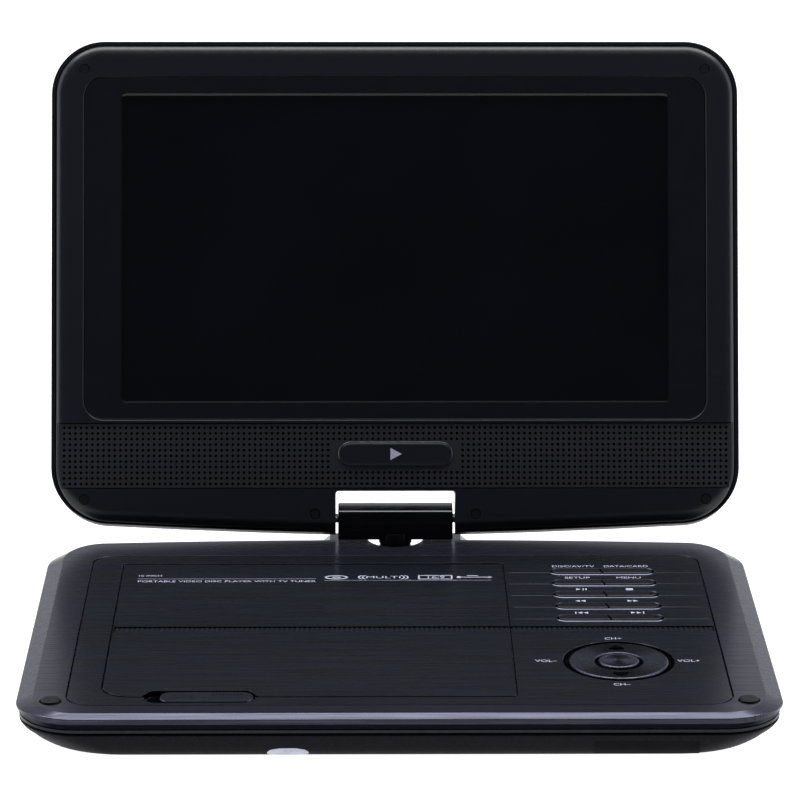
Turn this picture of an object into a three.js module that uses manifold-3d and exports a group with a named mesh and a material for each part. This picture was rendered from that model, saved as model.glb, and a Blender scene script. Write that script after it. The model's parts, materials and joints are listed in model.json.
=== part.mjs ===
// Portable disc player with a screen lid on a swivel hinge.
// Millimetres, +Z up. The front of the base faces -Y and +X is to the right.
// Inside this file the swivel axis stands at x = 0, y = 0. The finished group is then moved so that
// the origin lies under the middle of the whole player.
import * as THREE from "three";
import { mergeVertices } from "three/addons/utils/BufferGeometryUtils.js";
import Module from "manifold-3d";

const wasm = await Module();
wasm.setup();

// --- driving dimensions ---
const gap = 0.3; // clearance between neighbouring pieces
const halfWidth = 140; // half the player's width
const topZ = 21; // top plane of the base above the table
const footHeight = 2.5;
const lean = THREE.MathUtils.degToRad(18.8); // the open lid leans back this far

const base = {
  front: 197.4, // front edge, forward of the swivel axis
  rearMiddle: -0.5, // rear edge at the middle
  rearSide: 3.4, // rear edge beside the corners
  corner: 23,
  bottomZ: 2.8,
  shellTopZ: 13.2,
  trimBottomZ: 13.5,
  trimTopZ: 17,
  lipZ: 17.3,
  sideCreaseZ: 18,
  frontCreaseZ: 19.4,
  sideBevel: 6.5,
  frontBevel: 2.8,
  roof: 2.4,
  wall: 2.2,
};
const tongue = { halfWidth: 29.3, rear: -9, corner: 2.5 };
const notch = { radius: 11.4, floorZ: 9 };
const panel = { halfWidth: 121.1, rear: 22.1, front: 186.5, corner: 9, thick: 1, floorZ: 19.7 };
const door = { left: -108.7, right: 42.5, rear: 31.8, front: 178.4, bottomZ: 19, gap: 0.45 };
const doorCorner = { left: 10, right: 1.5 };
const doorHinge = { forward: 33.2, z: 20 };
const deck = { bottomZ: 16.4, topZ: 18.6, margin: 2 };
const well = { x: -33.1, forward: 105.2, radius: 62, wall: 1.5, floorZ: 13.5, bottomZ: 12 };
const slider = { left: -87.3, right: -53.3, rear: 174.4, front: 184.0, bottomZ: 19.5, topZ: 21.4 };
const sliderTravel = 4.1;
const slotMargin = 0.6; // play round the slider
const catchRoom = 2.1; // from the slider's rear to the edge of the door's notch
const keyRow = { first: 41.6, pitch: 13.45, count: 5, left: 61.4, right: 102.4, depth: 7.2 };
const keyZ = { bottom: 17.8, top: 21.4 };
const ring = { x: 82, forward: 142.2, recess: 20.8, outer: 18.7, inner: 8.75, button: 7.9 };
const bumper = { x: 126.7, forward: 182.4, radius: 3.65, bottomZ: 20.2, topZ: 21.8 };
const axisZ = topZ + 8.5; // tilt axis of the lid
const block = { halfWidth: 23.3, depth: 11.2, bottomZ: topZ + 1, topZ: topZ + 13.6 };
const neck = { radius: 6.75, bottomZ: 4.8, shoulderZ: topZ + 3.5 };
const pin = { radius: 1.8, inner: 12.5, outer: 34 };
const lid = {
  half: 7.25, // half thickness
  top: 194.6, // top edge above the tilt axis
  bottom: -7.25, // bottom edge at the middle
  bottomSide: -3.4, // bottom edge beside the corners
  topCorner: 21.7,
  bottomCorner: 24,
  rim: 1.7, // width of the back shell's rim seen round the bezel
  rimFront: 4.2, // the rim reaches this far forward of the middle plane
  wall: 2,
};
const hingeCut = { halfWidth: 24.3, top: 11.1 };
const frame = { halfWidth: 126.4, bottom: 40.2, top: 179.6, corner: 8 };
const screen = { halfWidth: 111, bottom: 47.7, top: 172.3, corner: 1.5 };
const grille = { halfWidth: 137.6, bottom: 12.1, top: 38.7 };
const badge = { halfWidth: 23.2, middle: 26.05, half: 5 };
const cap = { x: 126.4, low: 7.6, high: 183, radius: 2 };
const drive = { frameBottomZ: 6.8, frameTopZ: 11, inner: 25, rodX: 12, screwX: 20.5, rodZ: 8.9 };
const sled = { travel: 31.5, halfWidth: 15.5, half: 9, carrier: 4.5, lens: 2.2 };
const ports = { backX: 124, mouthX: 136.4, middleZ: 10.4, half: 2.5 };

// --- colours ---
function finish(color, roughness, metalness) {
  return new THREE.MeshStandardMaterial({ color, roughness, metalness });
}
const looks = {
  shell: () => finish(0x1a1a20, 0.55, 0),
  brushed: () => finish(0x2a2c36, 0.4, 0.7),
  bezel: () => finish(0x14161d, 0.35, 0),
  gloss: () => finish(0x07080c, 0.12, 0),
  glass: () => finish(0x05070d, 0.08, 0),
  mesh: () => finish(0x1b1c26, 0.45, 0.4),
  rubber: () => finish(0x101012, 0.85, 0),
  metal: () => finish(0x9a9aa4, 0.3, 1),
  chrome: () => finish(0x5a5b66, 0.25, 1),
  board: () => finish(0x0f4a2c, 0.6, 0),
  cell: () => finish(0x3a4a6a, 0.5, 0.1),
};

// --- joining and cutting ---
function solid(geometry) {
  const bare = geometry.clone();
  for (const name of Object.keys(bare.attributes)) {
    if (name !== "position") bare.deleteAttribute(name);
  }
  const welded = mergeVertices(bare, 1e-4);
  const vertProperties = new Float32Array(welded.attributes.position.array);
  const triVerts = new Uint32Array(welded.index.array);
  return new wasm.Manifold(new wasm.Mesh({ numProp: 3, vertProperties, triVerts }));
}

function surface(body) {
  const mesh = body.getMesh();
  const count = mesh.vertProperties.length / mesh.numProp;
  const position = new Float32Array(count * 3);
  for (let i = 0; i < count; i += 1) {
    for (let k = 0; k < 3; k += 1) position[i * 3 + k] = mesh.vertProperties[i * mesh.numProp + k];
  }
  const geometry = new THREE.BufferGeometry();
  geometry.setAttribute("position", new THREE.BufferAttribute(position, 3));
  geometry.setIndex([...mesh.triVerts]);
  geometry.computeVertexNormals();
  return geometry;
}

// Starts from one solid, adds each of `more` and then cuts each of `cuts` out.
function shaped(first, more, cuts) {
  let body = solid(first);
  for (const piece of more) body = body.add(solid(piece));
  for (const piece of cuts) body = body.subtract(solid(piece));
  return surface(body);
}

// --- basic shapes, placed by their own corners ---
// `forward` distances run towards -Y, so a box takes its rear and front as distances from the swivel axis.
function block3(left, right, rear, front, bottom, top) {
  const geometry = new THREE.BoxGeometry(right - left, front - rear, top - bottom);
  return geometry.translate((left + right) / 2, -(rear + front) / 2, (bottom + top) / 2);
}

function post(x, forward, radius, bottom, top, sides = 24) {
  const geometry = new THREE.CylinderGeometry(radius, radius, top - bottom, sides);
  return geometry.rotateX(Math.PI / 2).translate(x, -forward, (bottom + top) / 2);
}

function rodAcross(left, right, forward, z, radius, sides = 12) {
  const geometry = new THREE.CylinderGeometry(radius, radius, right - left, sides);
  return geometry.rotateZ(Math.PI / 2).translate((left + right) / 2, -forward, z);
}

function rodAlong(x, rear, front, z, radius, sides = 12) {
  const geometry = new THREE.CylinderGeometry(radius, radius, front - rear, sides);
  return geometry.translate(x, -(rear + front) / 2, z);
}

function rounded(left, right, bottom, top, radius) {
  const shape = new THREE.Shape();
  shape.moveTo(left + radius, bottom);
  shape.lineTo(right - radius, bottom);
  shape.absarc(right - radius, bottom + radius, radius, -Math.PI / 2, 0);
  shape.lineTo(right, top - radius);
  shape.absarc(right - radius, top - radius, radius, 0, Math.PI / 2);
  shape.lineTo(left + radius, top);
  shape.absarc(left + radius, top - radius, radius, Math.PI / 2, Math.PI);
  shape.lineTo(left, bottom + radius);
  shape.absarc(left + radius, bottom + radius, radius, Math.PI, Math.PI * 1.5);
  return shape;
}

function upright(shape, bottom, top, curveSegments = 4, steps = 1) {
  const options = { depth: top - bottom, bevelEnabled: false, curveSegments, steps };
  return new THREE.ExtrudeGeometry(shape, options).translate(0, 0, bottom);
}

function plate(left, right, rear, front, radius, bottom, top) {
  return upright(rounded(left, right, -front, -rear, radius), bottom, top);
}

// The door's outline: a round front left corner, and square ones elsewhere.
function doorPlate(grow, bottom, top) {
  const left = door.left - grow;
  const right = door.right + grow;
  const rear = -(door.rear - grow);
  const front = -(door.front + grow);
  const a = doorCorner.left;
  const b = doorCorner.right;
  const shape = new THREE.Shape();
  shape.moveTo(left + a, front);
  shape.lineTo(right - b, front);
  shape.absarc(right - b, front + b, b, -Math.PI / 2, 0);
  shape.lineTo(right, rear);
  shape.lineTo(left, rear);
  shape.lineTo(left, front + a);
  shape.absarc(left + a, front + a, a, Math.PI, Math.PI * 1.5);
  return upright(shape, bottom, top);
}

// --- base outline ---
function baseOutline(inset, withTongue) {
  const w = halfWidth - inset;
  const r = base.corner - inset * 0.5;
  const front = -(base.front - inset);
  const side = -(base.rearSide + inset);
  const middle = -(base.rearMiddle + inset);
  const shape = new THREE.Shape();
  shape.moveTo(-w + r, front);
  shape.lineTo(w - r, front);
  shape.absarc(w - r, front + r, r, -Math.PI / 2, 0);
  shape.lineTo(w, side - r);
  shape.absarc(w - r, side - r, r, 0, Math.PI / 2);
  if (withTongue) {
    const t = tongue.halfWidth - inset;
    const back = -(tongue.rear + inset);
    shape.quadraticCurveTo(w * 0.55, middle, t, middle);
    shape.lineTo(t, back - tongue.corner);
    shape.absarc(t - tongue.corner, back - tongue.corner, tongue.corner, 0, Math.PI / 2);
    shape.lineTo(-t + tongue.corner, back);
    shape.absarc(-t + tongue.corner, back - tongue.corner, tongue.corner, Math.PI / 2, Math.PI);
    shape.lineTo(-t, middle);
    shape.quadraticCurveTo(-w * 0.55, middle, -w + r, side);
  } else {
    shape.lineTo(-w + r, side);
  }
  shape.absarc(-w + r, side - r, r, Math.PI / 2, Math.PI);
  shape.lineTo(-w, front + r);
  shape.absarc(-w + r, front + r, r, Math.PI, Math.PI * 1.5);
  return shape;
}

// Moves every point of a geometry by a function of its place.
function reshaped(geometry, move) {
  const points = geometry.attributes.position;
  const point = new THREE.Vector3();
  for (let i = 0; i < points.count; i += 1) {
    point.fromBufferAttribute(points, i);
    move(point);
    points.setXYZ(i, point.x, point.y, point.z);
  }
  return geometry;
}

const baseMiddleY = -(base.front + base.rearSide) / 2;
function drawnIn(point, sideInset, endInset) {
  const halfDepth = (base.front - base.rearSide) / 2;
  point.x *= (halfWidth - sideInset) / halfWidth;
  point.y = baseMiddleY + (point.y - baseMiddleY) * ((halfDepth - endInset) / halfDepth);
}

// The round notch in the rear tongue that the hinge's neck stands in, open to the rear.
function notchCuts(bottom, top) {
  const open = block3(-notch.radius, notch.radius, tongue.rear - 2, 0, bottom, top);
  return [post(0, 0, notch.radius, bottom, top), open];
}

// --- base: shells ---
function lowerShell() {
  const height = base.shellTopZ - base.bottomZ;
  const outer = upright(baseOutline(0, true), base.bottomZ, base.shellTopZ, 5, 2);
  reshaped(outer, (p) => {
    const rise = (p.z - base.bottomZ) / height;
    const inset = 1 + 5 * (1 - rise) ** 1.3;
    drawnIn(p, inset, inset);
  });
  const cavity = upright(baseOutline(9, false), base.bottomZ + 1.5, topZ, 3);
  const bore = post(0, 0, neck.radius + gap, neck.bottomZ - gap, topZ);
  const holes = [portHole("dc"), portHole("phones"), portHole("av"), portHole("usb"), switchSlot()];
  return shaped(outer, [], [cavity, ...notchCuts(notch.floorZ, topZ), bore, windowPocket(), ...holes]);
}

function trimRing() {
  const outer = upright(baseOutline(1.2, true), base.trimBottomZ, base.trimTopZ, 5);
  const inner = upright(baseOutline(4.5, false), base.trimBottomZ - 1, base.trimTopZ + 1, 3);
  return shaped(outer, [], [inner, ...notchCuts(0, topZ + 1)]);
}

function topShellBody() {
  const outer = upright(baseOutline(0, true), 0, 2, 5, 2);
  return reshaped(outer, (p) => {
    const frontness = THREE.MathUtils.smoothstep(-p.y, base.front - 20, base.front - 2);
    const crease = THREE.MathUtils.lerp(base.sideCreaseZ, base.frontCreaseZ, frontness);
    if (p.z > 1.5) {
      drawnIn(p, base.sideBevel, base.frontBevel);
      p.z = topZ;
    } else {
      p.z = p.z > 0.5 ? crease : base.lipZ;
    }
  });
}

function keyHole(row) {
  const middle = keyRow.first + keyRow.pitch * row;
  const half = keyRow.depth / 2 + gap;
  const left = keyRow.left - gap;
  const right = keyRow.right + gap;
  return plate(left, right, middle - half, middle + half, half - 0.05, deck.bottomZ, topZ + 1);
}

// The slot that the slider runs in, from `bottom` upwards.
function sliderSlot(rearMargin, bottom) {
  const left = slider.left - sliderTravel - slotMargin;
  const front = slider.front + slotMargin;
  return block3(left, slider.right + slotMargin, slider.rear - rearMargin, front, bottom, topZ + 1);
}

function topShell() {
  const roofZ = topZ - base.roof;
  const inside = upright(baseOutline(base.sideBevel + base.wall, false), 0, roofZ, 3);
  const shell = solid(topShellBody()).subtract(solid(inside));
  const m = deck.margin;
  const deckRear = door.rear - m;
  const deckBody = block3(door.left - m, door.right + m, deckRear, door.front + m, deck.bottomZ, roofZ + 1);
  const cup = post(well.x, well.forward, well.radius + well.wall, well.bottomZ, roofZ, 40);
  const underKeys = ring.forward + ring.outer + 6;
  const shoulder = block3(keyRow.left - 8, keyRow.right + 10, door.rear, underKeys, roofZ - 1, roofZ + 0.5);
  const doorWell = doorPlate(door.gap, deck.topZ, topZ + 1);
  const panelWell = plate(
    -panel.halfWidth - gap,
    panel.halfWidth + gap,
    panel.rear - gap,
    panel.front + gap,
    panel.corner,
    panel.floorZ,
    topZ + 1,
  );
  const slotEnd = drive.inner + sled.travel + sled.carrier + 0.6;
  const cuts = [
    doorWell,
    panelWell,
    post(well.x, well.forward, well.radius, well.floorZ, topZ, 40),
    post(well.x, well.forward, 17, 0, topZ),
    block3(well.x - 8, well.x + 8, well.forward + 10, well.forward + slotEnd, 0, well.floorZ + 1),
    sliderSlot(slotMargin, slider.bottomZ - gap),
    post(ring.x, ring.forward, ring.outer + 0.4, 0, topZ + 1, 32),
    ...notchCuts(0, topZ + 1),
  ];
  for (let row = 0; row < keyRow.count; row += 1) cuts.push(keyHole(row));
  for (const side of [-1, 1]) {
    cuts.push(post(side * bumper.x, bumper.forward, bumper.radius + gap, bumper.bottomZ - gap, topZ + 1, 20));
  }
  let body = shell.add(solid(deckBody)).add(solid(cup)).add(solid(shoulder));
  for (const cut of cuts) body = body.subtract(solid(cut));
  return surface(body);
}

function topPanel() {
  const { halfWidth: w, rear, front, corner, thick } = panel;
  const sheet = plate(-w, w, rear, front, corner, topZ - thick, topZ);
  const cuts = [
    doorPlate(door.gap, 0, topZ + 1),
    sliderSlot(3, 0),
    post(ring.x, ring.forward, ring.recess, 0, topZ + 1, 32),
  ];
  for (let row = 0; row < keyRow.count; row += 1) cuts.push(keyHole(row));
  return shaped(sheet, [], cuts);
}

// --- base: moving pieces on the top ---
function discDoor() {
  const sheet = doorPlate(0, door.bottomZ, topZ);
  const round = 1; // the rear edge is a half round about the hinge line
  const rearSquare = block3(door.left - 1, door.right + 1, door.rear - 1, doorHinge.forward, 0, topZ + 1);
  const rearEdge = rodAcross(door.left, door.right, doorHinge.forward, doorHinge.z, round, 16);
  const left = slider.left - sliderTravel - 1.2;
  const latchNotch = block3(left, slider.right + 1.2, slider.rear - catchRoom, door.front + 1, 0, topZ + 1);
  return surface(solid(sheet).subtract(solid(rearSquare)).add(solid(rearEdge)).subtract(solid(latchNotch)));
}

function openSlider() {
  return plate(slider.left, slider.right, slider.rear, slider.front, 1.2, slider.bottomZ, slider.topZ);
}

// One row is a pill split in two: each key has one round end.
function pillKey(row, isRight) {
  const middle = keyRow.first + keyRow.pitch * row;
  const half = keyRow.depth / 2;
  const { left, right } = keyRow;
  const pill = plate(left, right, middle - half, middle + half, half - 0.05, keyZ.bottom, keyZ.top);
  const split = (left + right) / 2;
  const away = isRight ? block3(0, split + 0.4, 0, 200, 0, 40) : block3(split - 0.4, 200, 0, 200, 0, 40);
  return shaped(pill, [], [away]);
}

function navRing() {
  const disc = post(ring.x, ring.forward, ring.outer, 18, topZ + 0.2, 32);
  const hole = post(ring.x, ring.forward, ring.inner, 0, topZ + 1, 24);
  return shaped(disc, [], [hole]);
}

function okButton() {
  return post(ring.x, ring.forward, ring.button, 17.8, topZ + 0.5);
}

// --- base: right side ---
const portPlaces = {
  dc: { forward: 30, half: 4.2, hole: 1.8 },
  phones: { forward: 46, half: 3.2, hole: 1.8 },
  av: { forward: 58, half: 3.2, hole: 1.8 },
  usb: { forward: 76, half: 7 },
};

function portHole(name) {
  const place = portPlaces[name];
  const reach = place.half + gap;
  const rear = place.forward - reach;
  const low = ports.middleZ - ports.half - gap;
  const high = ports.middleZ + ports.half + gap;
  return block3(ports.backX, halfWidth + 5, rear, rear + reach * 2, low, high);
}

function portBody(name) {
  const place = portPlaces[name];
  const { backX, mouthX, middleZ, half } = ports;
  const rear = place.forward - place.half;
  return block3(backX, mouthX, rear, rear + place.half * 2, middleZ - half, middleZ + half);
}

function roundPort(name) {
  const place = portPlaces[name];
  const bore = rodAcross(ports.backX + 3, ports.mouthX + 1, place.forward, ports.middleZ, place.hole);
  return shaped(portBody(name), [], [bore]);
}

function usbPort() {
  const { forward } = portPlaces.usb;
  const { backX, mouthX, middleZ } = ports;
  const mouth = block3(backX + 2, mouthX + 1, forward - 6.3, forward + 6.3, middleZ - 2.1, middleZ + 2.1);
  const contact = block3(backX + 1, mouthX - 1, forward - 5.5, forward + 5.5, middleZ - 0.3, middleZ + 1.2);
  return surface(solid(portBody("usb")).subtract(solid(mouth)).add(solid(contact)));
}

const knob = { forward: 98, half: 3, travel: 4, low: 9.2, high: 11.4, backX: 128, frontX: 137.6 };
function switchSlot() {
  const rear = knob.forward - knob.half - gap;
  const front = knob.forward + knob.half + knob.travel + gap;
  return block3(knob.backX - 1, halfWidth + 5, rear, front, knob.low - gap, knob.high + gap);
}

function powerSwitch() {
  const rear = knob.forward - knob.half;
  return block3(knob.backX, knob.frontX, rear, rear + knob.half * 2, knob.low, knob.high);
}

// --- base: small outside pieces ---
const remote = { left: 70, right: 108, height: 6.6, thick: 1.4, forward: 193, z: 8.2, tilt: -0.4 };
function windowBlock(extra) {
  const wide = remote.right - remote.left + extra * 2;
  const geometry = new THREE.BoxGeometry(wide, remote.thick + extra * 2, remote.height + extra * 2);
  return geometry.rotateX(remote.tilt).translate((remote.left + remote.right) / 2, -remote.forward, remote.z);
}

function windowPocket() {
  const shift = 2;
  const wide = remote.right - remote.left + gap * 2;
  const geometry = new THREE.BoxGeometry(wide, remote.thick + gap + shift * 2, remote.height + gap * 2);
  geometry.translate(0, gap / 2 - shift, 0);
  return geometry.rotateX(remote.tilt).translate((remote.left + remote.right) / 2, -remote.forward, remote.z);
}

function bumperPad(side) {
  return post(side * bumper.x, bumper.forward, bumper.radius, bumper.bottomZ, bumper.topZ, 20);
}

const footPlaces = { left: -112, right: 112, rear: 26, front: 172, radius: 6 };
function foot(x, forward) {
  return post(x, forward, footPlaces.radius, 0, footHeight, 20);
}

// --- base: inside ---
function mainBoard() {
  const sheet = block3(46, 122.5, 24, 96, 5, 6.6);
  const decoder = block3(60, 76, 34, 50, 6.5, 8.4);
  const driver = block3(86, 104, 54, 66, 6.5, 8.6);
  const capacitor = block3(66, 72, 60, 78, 6.5, 9.5);
  return shaped(sheet, [decoder, driver, capacitor], []);
}

function keyBoard() {
  const sheet = block3(56, 108, 38, 164, 15.4, 16.6);
  const plug = block3(60, 70, 100, 108, 14.2, 15.5);
  return shaped(sheet, [plug], []);
}

function batteryPack() {
  return plate(44, 118, 104, 180, 2, 4.6, 11.6);
}

function driveFrame() {
  const { frameBottomZ: low, frameTopZ: high } = drive;
  const sheet = block3(well.x - 38, well.x + 38, well.forward - 30, well.forward + 76, low, high);
  const bay = block3(well.x - 25, well.x + 25, well.forward + 14.5, well.forward + 70, 0, topZ);
  const motorHole = post(well.x, well.forward, 13, 0, topZ);
  const cuts = [bay, motorHole];
  for (const side of [-1, 1]) {
    const x = well.x + side * drive.rodX;
    cuts.push(rodAlong(x, well.forward + 10, well.forward + 74, drive.rodZ, 1.5 + gap));
  }
  cuts.push(rodAlong(well.x + drive.screwX, well.forward + 11, well.forward + 20, drive.rodZ, 1.2 + gap));
  const legs = [];
  for (const x of [well.x - 34, well.x + 34]) {
    for (const forward of [well.forward - 26, well.forward + 72]) {
      legs.push(post(x, forward, 3, base.bottomZ + 1.5 + gap, low + 1, 16));
    }
  }
  return shaped(sheet, legs, cuts);
}

function guideRod(side) {
  return rodAlong(well.x + side * drive.rodX, well.forward + 10.6, well.forward + 73.4, drive.rodZ, 1.5);
}

function spindleMotor() {
  const can = post(well.x, well.forward, 12, 4.7, 11.4);
  const flange = post(well.x, well.forward, 16, drive.frameTopZ + 0.25, 11.8);
  const bore = post(well.x, well.forward, 1 + gap, 5.6, topZ, 16);
  return shaped(can, [flange], [bore]);
}

// Platter, centring cone and shaft in one turned piece.
function turntable() {
  const outline = [
    [0, 6],
    [1, 6],
    [1, 12.4],
    [15, 12.4],
    [15, 15.8],
    [7.4, 15.8],
    [7.4, 17.4],
    [5.6, 18.4],
    [0, 18.4],
  ];
  const profile = outline.map(([radius, z]) => new THREE.Vector2(radius, z));
  return new THREE.LatheGeometry(profile, 20).rotateX(Math.PI / 2).translate(well.x, -well.forward, 0);
}

function pickupSled() {
  const middle = well.forward + drive.inner;
  const { halfWidth: w, half } = sled;
  const body = block3(well.x - w, well.x + w, middle - half, middle + half, 6, 11.2);
  const arm = block3(well.x + w - 1, well.x + 24, middle - 3, middle + 3, 6.4, 11);
  const carrier = post(well.x, middle, sled.carrier, 11, 13.1, 16);
  const lens = post(well.x, middle, sled.lens, 13, 14, 12);
  const cuts = [rodAlong(well.x + drive.screwX, middle - 5, middle + 5, drive.rodZ, 1.2 + gap)];
  for (const side of [-1, 1]) {
    cuts.push(rodAlong(well.x + side * drive.rodX, middle - 10, middle + 10, drive.rodZ, 1.5 + gap));
  }
  return shaped(body, [arm, carrier, lens], cuts);
}

const sledMotor = { rear: 61, front: 69.5, radius: 4 };
function leadScrew() {
  const end = well.forward + sledMotor.rear + 4;
  return rodAlong(well.x + drive.screwX, well.forward + 12, end, drive.rodZ, 1.2);
}

function sledMotorBody() {
  const x = well.x + drive.screwX;
  const rear = well.forward + sledMotor.rear;
  const can = rodAlong(x, rear, well.forward + sledMotor.front, drive.rodZ, sledMotor.radius, 16);
  const bore = rodAlong(x, rear - 1, rear + 5, drive.rodZ, 1.2 + gap);
  return shaped(can, [], [bore]);
}

// --- hinge ---
function swivelSeat() {
  const washer = post(0, 0, 9.6, notch.floorZ + gap, notch.floorZ + 2);
  return shaped(washer, [], [post(0, 0, neck.radius + gap, 0, topZ)]);
}

function swivelShaft() {
  const stem = post(0, 0, neck.radius, neck.bottomZ, neck.shoulderZ);
  const head = block3(-10, 10, -2.8, 2.8, neck.shoulderZ - 0.5, block.topZ - 3);
  const wireWay = rodAcross(-11, 11, 0, axisZ, 1.2);
  return shaped(stem, [head], [wireWay]);
}

function hingeCover(isFront) {
  const rear = isFront ? 0.15 : -block.depth / 2;
  const front = isFront ? block.depth / 2 : -0.15;
  const body = block3(-block.halfWidth, block.halfWidth, rear, front, block.bottomZ, block.topZ);
  const cuts = [
    post(0, 0, neck.radius + gap, 0, neck.shoulderZ + gap),
    block3(-10 - gap, 10 + gap, -2.8 - gap, 2.8 + gap, 0, block.topZ - 3 + gap),
    rodAcross(pin.inner - gap, 40, 0, axisZ, pin.radius + gap),
    rodAcross(-40, -pin.inner + gap, 0, axisZ, pin.radius + gap),
  ];
  // the front cover's top edge is broken by a narrow chamfer
  const bar = new THREE.BoxGeometry(60, 1.2, 1.2).rotateX(Math.PI / 4);
  bar.translate(0, (isFront ? -1 : 1) * (block.depth / 2 + 0.2), block.topZ + 0.2);
  return shaped(body, [], [...cuts, bar]);
}

function tiltPin(side) {
  const inner = Math.min(side * pin.inner, side * pin.outer);
  const outer = Math.max(side * pin.inner, side * pin.outer);
  return rodAcross(inner, outer, 0, axisZ, pin.radius);
}

// --- lid, built upright about the tilt axis: x across, z up the lid, front facing -Y ---
function lidOutline(inset) {
  const w = halfWidth - inset;
  const top = lid.top - inset;
  const side = lid.bottomSide + inset;
  const middle = lid.bottom + inset;
  const rt = lid.topCorner - inset;
  const rb = lid.bottomCorner - inset;
  const shape = new THREE.Shape();
  shape.moveTo(-w + rb, side);
  shape.quadraticCurveTo(-w * 0.5, middle, 0, middle);
  shape.quadraticCurveTo(w * 0.5, middle, w - rb, side);
  shape.absarc(w - rb, side + rb, rb, -Math.PI / 2, 0);
  shape.lineTo(w, top - rt);
  shape.absarc(w - rt, top - rt, rt, 0, Math.PI / 2);
  shape.lineTo(-w + rt, top);
  shape.absarc(-w + rt, top - rt, rt, Math.PI / 2, Math.PI);
  shape.lineTo(-w, side + rb);
  shape.absarc(-w + rb, side + rb, rb, Math.PI, Math.PI * 1.5);
  return shape;
}

// Stands a flat outline up: its depth runs from `back` to `front`, measured towards the viewer.
function standing(shape, back, front, curveSegments = 5) {
  return upright(shape, back, front, curveSegments).rotateX(Math.PI / 2);
}

function slab(left, right, bottom, top, back, front) {
  return block3(left, right, back, front, bottom, top);
}

function sheetUp(left, right, bottom, top, radius, back, front) {
  return standing(rounded(left, right, bottom, top, radius), back, front);
}

// The lid's bottom edge is a half round about the tilt axis, so that it clears the base at every tilt.
function lidEnvelope() {
  const bar = rodAcross(-halfWidth, halfWidth, 0, 0, lid.half, 24);
  return solid(bar).add(solid(slab(-halfWidth, halfWidth, 0, lid.top + 1, -lid.half, lid.half)));
}

function hingeCuts() {
  const cuts = [slab(-hingeCut.halfWidth, hingeCut.halfWidth, -20, hingeCut.top, -20, 20)];
  for (const side of [-1, 1]) {
    const near = side * (hingeCut.halfWidth - 1);
    const far = side * (pin.outer + gap);
    cuts.push(rodAcross(Math.min(near, far), Math.max(near, far), 0, 0, pin.radius + gap));
  }
  return cuts;
}

function lidPiece(body, cuts) {
  let result = body.intersect(lidEnvelope());
  for (const cut of [...cuts, ...hingeCuts()]) result = result.subtract(solid(cut));
  return surface(result);
}

function lidBackShell() {
  const outer = solid(standing(lidOutline(0), -lid.half, lid.rimFront));
  const seat = standing(lidOutline(lid.rim), -0.15, lid.rimFront + 1);
  const cavity = sheetUp(-halfWidth + 3, halfWidth - 3, 12, lid.top - 3, 18, -lid.half + lid.wall, 1);
  return lidPiece(outer, [seat, cavity]);
}

function lidFrontBezel() {
  const outer = solid(standing(lidOutline(lid.rim + gap), 0.15, lid.half));
  const w = frame.halfWidth;
  const g = grille.halfWidth;
  const cuts = [
    sheetUp(-w - gap, w + gap, frame.bottom - gap, frame.top + gap, frame.corner, 5, 20),
    slab(-w + 6, w - 6, frame.bottom + 2, frame.top - 2, -1, 20),
    sheetUp(-g - gap, g + gap, grille.bottom - gap, grille.top + gap, 1, 5, 20),
  ];
  for (const side of [-1, 1]) {
    const near = side * 118;
    const far = side * 66;
    cuts.push(slab(Math.min(near, far), Math.max(near, far), grille.bottom + 1, grille.top - 1, -1, 20));
    for (const height of [cap.low, cap.high]) {
      cuts.push(rodAlong(side * cap.x, 6.4, 20, height, cap.radius + 0.2));
    }
  }
  return lidPiece(outer, cuts);
}

function screenFrame() {
  const outer = sheetUp(-frame.halfWidth, frame.halfWidth, frame.bottom, frame.top, frame.corner, 5.3, 6.8);
  const hole = sheetUp(-screen.halfWidth, screen.halfWidth, screen.bottom, screen.top, screen.corner, 0, 20);
  return shaped(outer, [], [hole]);
}

function screenPanel() {
  return slab(-frame.halfWidth + 8, frame.halfWidth - 8, frame.bottom + 4, frame.top - 4, 1.5, 5);
}

function speakerGrille() {
  return sheetUp(-grille.halfWidth, grille.halfWidth, grille.bottom, grille.top, 1, 5.3, 6.6);
}

function badgePlate() {
  const { halfWidth: w, middle, half } = badge;
  return sheetUp(-w, w, middle - half, middle + half, half - 0.05, 6.9, 7.4);
}

function speaker(side) {
  const rear = Math.min(side * 72, side * 112);
  const driver = sheetUp(rear, rear + 40, 14.5, 36.5, 9, 0.5, 4.8);
  const magnet = rodAlong(side * 92, -4, 1, 25.5, 8, 16);
  return shaped(driver, [magnet], []);
}

function displayBoard() {
  const sheet = slab(-80, 80, 60, 130, -3.4, -2);
  const parts = [slab(-50, -30, 80, 100, -4.6, -3.3), slab(10, 40, 70, 82, -4.4, -3.3)];
  return shaped(sheet, parts, []);
}

function screwCap(side, height) {
  return rodAlong(side * cap.x, 6.6, 7.3, height, cap.radius);
}

// --- assembly ---
const player = new THREE.Group();
const lidGroup = new THREE.Group();
lidGroup.position.set(0, 0, axisZ);
lidGroup.rotation.x = -lean;
player.add(lidGroup);

function put(parent, name, geometry, look) {
  const mesh = new THREE.Mesh(geometry, look());
  mesh.name = name;
  parent.add(mesh);
}

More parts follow.
